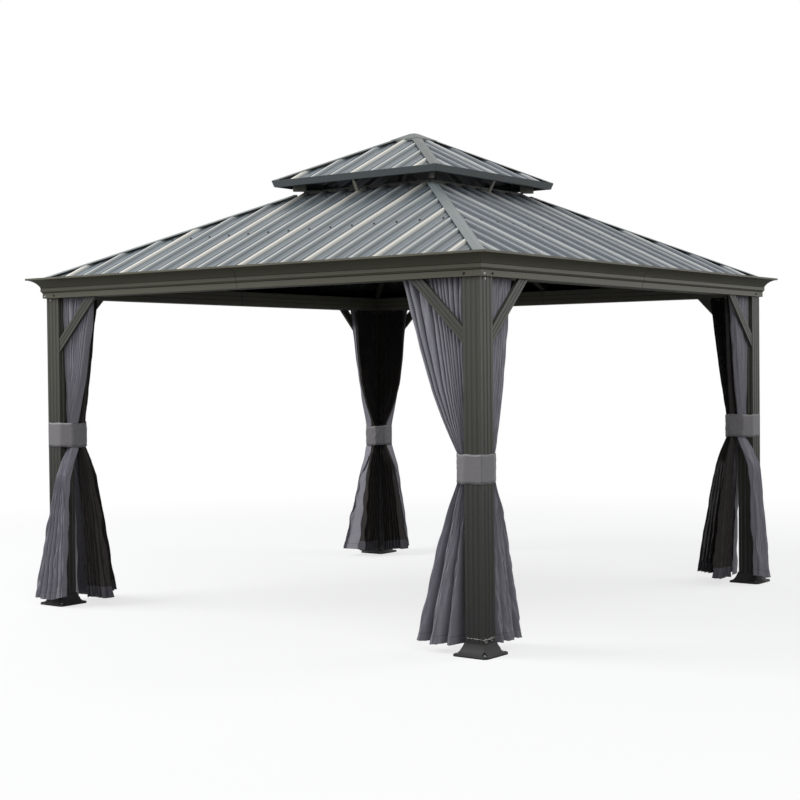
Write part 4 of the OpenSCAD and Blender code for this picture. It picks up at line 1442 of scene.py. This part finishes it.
@dataclass
class Fixings:
    """Roof screws, rib closures, frame bolts, anchor bolts and track hooks."""

    book: FinishBook
    eave_row: float = 1.735
    purlin_row: float = 1.19
    head_row: float = 0.625
    upper_row: float = 0.648
    hip_clear: float = 0.07
    closure_row: float = 1.752
    closure_depth: float = 0.02
    post_bolt: tuple[float, float] = (-0.016, 1.996)
    cornice_bolt: tuple[float, float] = (-0.047, 2.020)
    fascia_bolt: tuple[float, float] = (0.11, 0.0165)
    anchor: tuple[float, float] = (0.086, 0.0081)
    hook_first: float = 0.075
    hook_last: float = 0.006
    hook_z: float = 1.996
    hooks_each: int = 9

    def roof_rows(self) -> Places:
        """Screws between the ribs.

        Returns:
            Their places and directions.
        """
        lower_rows = (self.eave_row, self.purlin_row, self.head_row)
        rows = [(c, SIZES.pan_z(c), SIZES.lower_slope) for c in lower_rows]
        rows.append((self.upper_row, SIZES.upper_pan_z(self.upper_row), SIZES.upper_slope))
        spots = []
        for k in range(4):
            for c, z, slope in rows:
                up = Vector((0.0, -slope, 1.0)).normalized()
                reach = int(c / SIZES.rib_pitch) + 1
                across = [(i + 0.5) * SIZES.rib_pitch for i in range(-reach, reach)]
                spots += [(side_matrix(k), (x, -c, z), up) for x in across if abs(x) < c - self.hip_clear]
        return seated(spots)

    def post_bolts(self) -> Places:
        """Bright bolts at the head of each post and on the cornice above it, on one outer face.

        Returns:
            Their places and directions.
        """
        (low_x, low_z), (high_x, high_z) = self.post_bolt, self.cornice_bolt
        spots = ((low_x, -SIZES.post_half, low_z), (high_x, SIZES.post_mid - SIZES.fascia, high_z))
        return seated((corner_matrix(k), spot, (0, -1, 0)) for k in range(4) for spot in spots)

    def fascia_bolts(self) -> Places:
        """Dark bolts on the fascia beside every corner.

        Returns:
            Their places and directions.
        """
        out, z = SIZES.fascia - self.fascia_bolt[0], SIZES.beam_z + self.fascia_bolt[1]
        return seated((side_matrix(k), (x, -SIZES.fascia, z), (0, -1, 0))
                      for k in range(4) for x in (-out, out))

    def closures(self) -> Places:
        """Plates that close the ribs at the eave.

        Returns:
            Their middles and up-slope directions.
        """
        c = self.closure_row
        up_slope = Vector((0.0, 1.0, SIZES.lower_slope)).normalized()
        reach = int((c - 0.03) / SIZES.rib_pitch)
        z = SIZES.pan_z(c) - SIZES.sheet_t
        return seated((side_matrix(k), (i * SIZES.rib_pitch, -c, z), up_slope)
                      for k in range(4) for i in range(-reach, reach + 1))

    def anchors(self) -> Places:
        """Anchor bolts on the corners of every foot.

        Returns:
            Their places and directions.
        """
        mid, (off, z), signs = SIZES.post_mid, self.anchor, (-1, 1)
        points = [(sx * mid + ax * off, sy * mid + ay * off, z)
                  for sx in signs for sy in signs for ax in signs for ay in signs]
        return points, [(0.0, 0.0, 1.0)] * len(points)

    def hooks(self, rail: Rail) -> Places:
        """Hooks along the gathered stretch of a track.

        Args:
            rail: The curtain's track or the netting's.

        Returns:
            Their places and directions.
        """
        across = -0.005 if rail is Rail.CURTAIN else 0.041
        spots = []
        for k in range(4):
            for mirrored in (False, True):
                reach = SIZES.net_reach[k][0] if rail is Rail.NET else SIZES.curtain_reach[k][mirrored][0]
                for along in np.linspace(self.hook_first, reach - self.hook_last, self.hooks_each):
                    x, y = (across, along) if mirrored else (along, across)
                    spots.append((corner_matrix(k), (x, y, self.hook_z), (0.0, 0.0, 1.0)))
        return seated(spots)

    def build(self) -> list[bpy.types.Object]:
        """Make every set of fixings.

        Returns:
            The pieces.
        """
        zinc, dark = self.book.get(self.book.zinc), self.book.get(self.book.dark_steel)
        closure = self.book.get(self.book.closure)
        screw, bolt, dark_bolt, anchor = (
            dict(zip(FixingTree.LENGTHS, lengths))
            for lengths in ((0.0048, 0.0045, 0.0085, 0.002), (0.0055, 0.005, 0.0075, 0.0015),
                            (0.0055, 0.003, 0.008, 0.0015), (0.0085, 0.0065, 0.012, 0.002)))
        hook = {"Ring radius": 0.006, "Wire radius": 0.0013, "Stem length": 0.012}
        rib = {"Base": SIZES.rib_base, "Top": SIZES.rib_top, "Height": SIZES.rib_h,
               "Depth": self.closure_depth}
        heads, plates, rings = FixingTree.get(), ClosureTree.get(), HookTree.get()
        sets = [
            FixingSet("roof_screws", heads, *self.roof_rows(), dark, Slot.FIXINGS, screw),
            FixingSet("rib_closures", plates, *self.closures(), closure, Slot.ROOF, rib),
            FixingSet("post_bolts", heads, *self.post_bolts(), zinc, Slot.FIXINGS, bolt),
            FixingSet("fascia_bolts", heads, *self.fascia_bolts(), dark, Slot.FIXINGS, dark_bolt),
            FixingSet("anchor_bolts", heads, *self.anchors(), zinc, Slot.FIXINGS, anchor),
            FixingSet("curtain_hooks", rings, *self.hooks(Rail.CURTAIN), zinc, Slot.FIXINGS, hook),
            FixingSet("net_hooks", rings, *self.hooks(Rail.NET), zinc, Slot.FIXINGS, hook),
        ]
        return [s.build() for s in sets]


@dataclass
class SeamSeals:
    """Dark rubber plates that close the seam at the middle of each beam, a little behind its face."""

    book: FinishBook
    half_width: float = 0.00145
    inset: float = 0.0012
    cove_mid: tuple[float, float] = (0.08528, 0.03701)
    cove_r: float = 0.08208
    skin: float = 0.004

    def outline(self) -> np.ndarray:
        """Outline of a plate.

        Returns:
            Rows of how far out from the fascia and how far up from the beam's underside.
        """
        turn = np.radians(np.linspace(159.3, 99.3, 13))
        way = np.stack((np.cos(turn), np.sin(turn)), axis=1)
        face = np.array(self.cove_mid) + (self.cove_r + self.inset) * way
        back = np.array(self.cove_mid) + (self.cove_r + self.skin - self.inset) * way[::-1]
        foot = [(-0.02, 0.0015), (-0.0012, 0.0015), (-0.0012, 0.0335), (0.0088, 0.0466)]
        lip = [(0.0778, 0.1192), (0.0778, 0.1288), (0.0762, 0.1288), (0.0762, 0.1232)]
        return np.concatenate((foot, face, lip, back[:-1], [(-0.02, 0.0728)]))

    def build(self) -> bpy.types.Object:
        """Make the four plates as one piece.

        Returns:
            The piece.
        """
        outline = self.outline()
        n = len(outline)
        points, faces = [], []
        for k in range(4):
            turn, first = side_matrix(k), len(points)
            for x in (-self.half_width, self.half_width):
                points += [tuple(turn @ Vector((x, -SIZES.fascia - a, SIZES.beam_z + b))) for a, b in outline]
            near, far = range(first, first + n), range(first + n, first + 2 * n)
            faces += [tuple(near), tuple(far[::-1])]
            faces += [(near[(i + 1) % n], near[i], far[i], far[(i + 1) % n]) for i in range(n)]
        piece = mesh_piece("beam_seam_seals", np.array(points), faces, smooth=False)
        piece.data.materials.append(self.book.get(self.book.closure))
        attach(piece, ROOT)
        LOG.info("made %s", piece.name)
        return piece


@dataclass
class WireTie:
    """Wire drawn tight round the foot of the front right post, with its twisted ends."""

    book: FinishBook
    height: float = 0.092
    radius: float = 0.0013

    def paths(self) -> tuple[tuple[np.ndarray, float], ...]:
        """Paths of the loop, the twisted ring and the two ends, in the corner's frame.

        Returns:
            Each path with its radius.
        """
        r, h = SIZES.post_half + self.radius, self.height
        square = [(-r, -r, h), (r, -r, h - 0.004), (r, r, h), (-r, r, h + 0.004), (-r, -r, h)]
        t = np.linspace(0, math.tau, 25)
        ring = np.stack((0.018 - r - 0.010 * np.cos(t), -r - 0.003 - 0.002 * np.sin(t / 2),
                         h - 0.006 + 0.010 * np.sin(t)), axis=1)
        upper = [(-r, -r - 0.001, h), (0.03 - r, -r - 0.004, h - 0.002),
                 (0.07 - r, -r - 0.003, h + 0.004), (0.105 - r, -r - 0.002, h + 0.003)]
        lower = [(0.02 - r, -r - 0.005, h + 0.001), (0.05 - r, -r - 0.005, h - 0.001),
                 (0.08 - r, -r - 0.007, h - 0.012)]
        return ((np.array(square), 0.6 * self.radius), (ring, 1.2 * self.radius),
                (np.array(upper), self.radius), (np.array(lower), self.radius))

    def build(self) -> bpy.types.Object:
        """Make the wire and place it on its post.

        Returns:
            The piece.
        """
        points, faces = np.empty((0, 3)), []
        for line, radius in self.paths():
            knots, at = np.arange(len(line)), np.linspace(0, len(line) - 1, 6 * len(line))
            path = np.stack([np.interp(at, knots, line[:, i]) for i in range(3)], axis=1)
            more, more_faces = tube(path, radius)
            faces += [tuple(i + len(points) for i in f) for f in more_faces]
            points = np.concatenate((points, more))
        piece = mesh_piece("wire_tie", moved(corner_matrix(0), points), faces)
        piece.data.materials.append(self.book.get(self.book.zinc))
        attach(piece, ROOT)
        LOG.info("made %s", piece.name)
        return piece


@dataclass
class Studio:
    """Pale floor, soft light and the camera."""

    eye: Point = (6.3339, -8.3886, 1.5221)
    yaw: float = 0.6316
    pitch: float = -0.0201
    roll: float = -0.0096
    focal_px: float = 1543.2
    shift_px: float = 40.0
    image_px: float = 800.0
    ambient: float = 0.42
    floor_white: float = 0.72
    floor_half: float = 40.0
    aim_z: float = 1.6

    def camera(self) -> None:
        """Place the camera at the measured point of view."""
        data = bpy.data.cameras.new("camera")
        data.sensor_fit, data.sensor_width = "HORIZONTAL", 36.0
        data.lens = 36.0 * self.focal_px / self.image_px
        data.shift_x = -self.shift_px / self.image_px
        data.clip_end = 200.0
        ahead = Vector((-math.sin(self.yaw) * math.cos(self.pitch), math.cos(self.yaw) * math.cos(self.pitch),
                        math.sin(self.pitch)))
        right = Vector((math.cos(self.yaw), math.sin(self.yaw), 0.0))
        up = right.cross(ahead)
        across = right * math.cos(self.roll) + up * math.sin(self.roll)
        over = up * math.cos(self.roll) - right * math.sin(self.roll)
        view = bpy.data.objects.new("camera", data)
        bpy.context.scene.collection.objects.link(view)
        turn = Matrix((across, over, -ahead)).transposed().to_4x4()
        view.matrix_world = Matrix.Translation(self.eye) @ turn
        bpy.context.scene.camera = view

    def lamp(self, name: str, way: Point, distance: float, size: float, power: float) -> None:
        """Add a soft square lamp that faces the gazebo.

        Args:
            name: The lamp's name.
            way: Direction from the gazebo to the lamp.
            distance: How far away it stands.
            size: Its width.
            power: Its power in watts.
        """
        data = bpy.data.lights.new(name, "AREA")
        data.shape, data.size, data.energy = "SQUARE", size, power
        item = bpy.data.objects.new(name, data)
        bpy.context.scene.collection.objects.link(item)
        direction = Vector(way).normalized()
        item.location = Vector((0.0, 0.0, self.aim_z)) + direction * distance
        item.rotation_euler = direction.to_track_quat("Z", "Y").to_euler()

    @staticmethod
    def surface(tree: Tree, kind: str, share: Socket, a: bpy.types.Node, b: bpy.types.Node) -> None:
        """End a tree with a mix of two shaders.

        Args:
            tree: The tree.
            kind: Class name of its output node.
            share: 0 for the first shader, 1 for the second.
            a: The first shader.
            b: The second shader.
        """
        mix = tree.nodes.new("ShaderNodeMixShader")
        for socket, value in zip(mix.inputs, (share, a.outputs[0], b.outputs[0])):
            tree.links.new(value, socket)
        tree.links.new(mix.outputs[0], tree.nodes.new(kind).inputs["Surface"])

    def world(self) -> None:
        """White surround for the view and for reflections, and a soft dome of light."""
        world = bpy.data.worlds.new("surround")
        bpy.context.scene.world = world
        world.use_nodes = True
        tree, tools = world.node_tree, NodeTools
        tree.nodes.clear()
        path = tree.nodes.new("ShaderNodeLightPath").outputs
        seen = tools.maths(tree, "MAXIMUM", path["Is Camera Ray"], path["Is Glossy Ray"])
        seen = tools.maths(tree, "MAXIMUM", seen, path["Is Transmission Ray"])
        white = tools.add(tree, "ShaderNodeBackground", "white", Color=(1, 1, 1, 1), Strength=1.0)
        dome = tools.add(tree, "ShaderNodeBackground", "dome", Color=(0.95, 0.98, 1.0, 1),
                         Strength=self.ambient)
        self.surface(tree, "ShaderNodeOutputWorld", seen, dome, white)

    def floor(self) -> None:
        """Pale floor that keeps the gazebo's shadow."""
        size = self.floor_half
        square = np.array([(-size, -size, 0), (size, -size, 0), (size, size, 0), (-size, size, 0)])
        piece = mesh_piece("floor", square, [(0, 1, 2, 3)], smooth=False)
        material = bpy.data.materials.new("floor_paint")
        material.use_nodes = True
        tree, tools = material.node_tree, NodeTools
        tree.nodes.clear()
        seen = tree.nodes.new("ShaderNodeLightPath").outputs["Is Camera Ray"]
        paint = tools.blend(tree, seen, (0.22, 0.22, 0.22, 1), (0.95, 0.95, 0.95, 1))
        matt = tools.add(tree, "ShaderNodeBsdfDiffuse", "matt", Color=paint)
        glow = tools.add(tree, "ShaderNodeEmission", "pale", Strength=1.0)
        spot = tree.nodes.new("ShaderNodeTexCoord").outputs["Object"]
        far = tools.add(tree, "ShaderNodeVectorMath", "distance", operation="LENGTH", Vector=spot)
        fade = tools.add(tree, "ShaderNodeMapRange", "fade to white", interpolation_type="SMOOTHSTEP",
                         Value=far.outputs["Value"], From_Min=3.0, From_Max=9.0, To_Min=self.floor_white,
                         To_Max=1.0)
        share = tools.maths(tree, "MULTIPLY", seen, fade.outputs["Result"])
        self.surface(tree, "ShaderNodeOutputMaterial", share, matt, glow)
        piece.data.materials.append(material)

    def build(self) -> None:
        """Set up the view, the light and the floor."""
        scene = bpy.context.scene
        scene.view_settings.view_transform = "Standard"
        scene.cycles.transparent_max_bounces = 48
        self.camera()
        self.world()
        self.floor()
        self.lamp("key", (-0.58, -0.55, 0.60), 9.0, 5.0, 560.0)
        self.lamp("rim", (0.483, 0.445, 0.753), 9.0, 4.0, 160.0)
        self.lamp("fill", (0.80, -0.58, 0.48), 11.0, 5.0, 190.0)
        self.lamp("kick", (0.70, 0.70, 0.12), 9.0, 4.0, 30.0)
        LOG.info("set up the studio")


def main() -> None:
    """Dress the frame, make the soft pieces and fixings, and set up the studio."""
    logging.basicConfig(level=logging.INFO, format="%(name)s: %(message)s")
    book = FinishBook()
    Studio().build()
    FrameDress(book).dress()
    Drapes(book).build()
    for k in range(4):
        TieBack(book, k).build()
    Fixings(book).build()
    SeamSeals(book).build()
    WireTie(book).build()


if __name__ == "__main__":
    main()
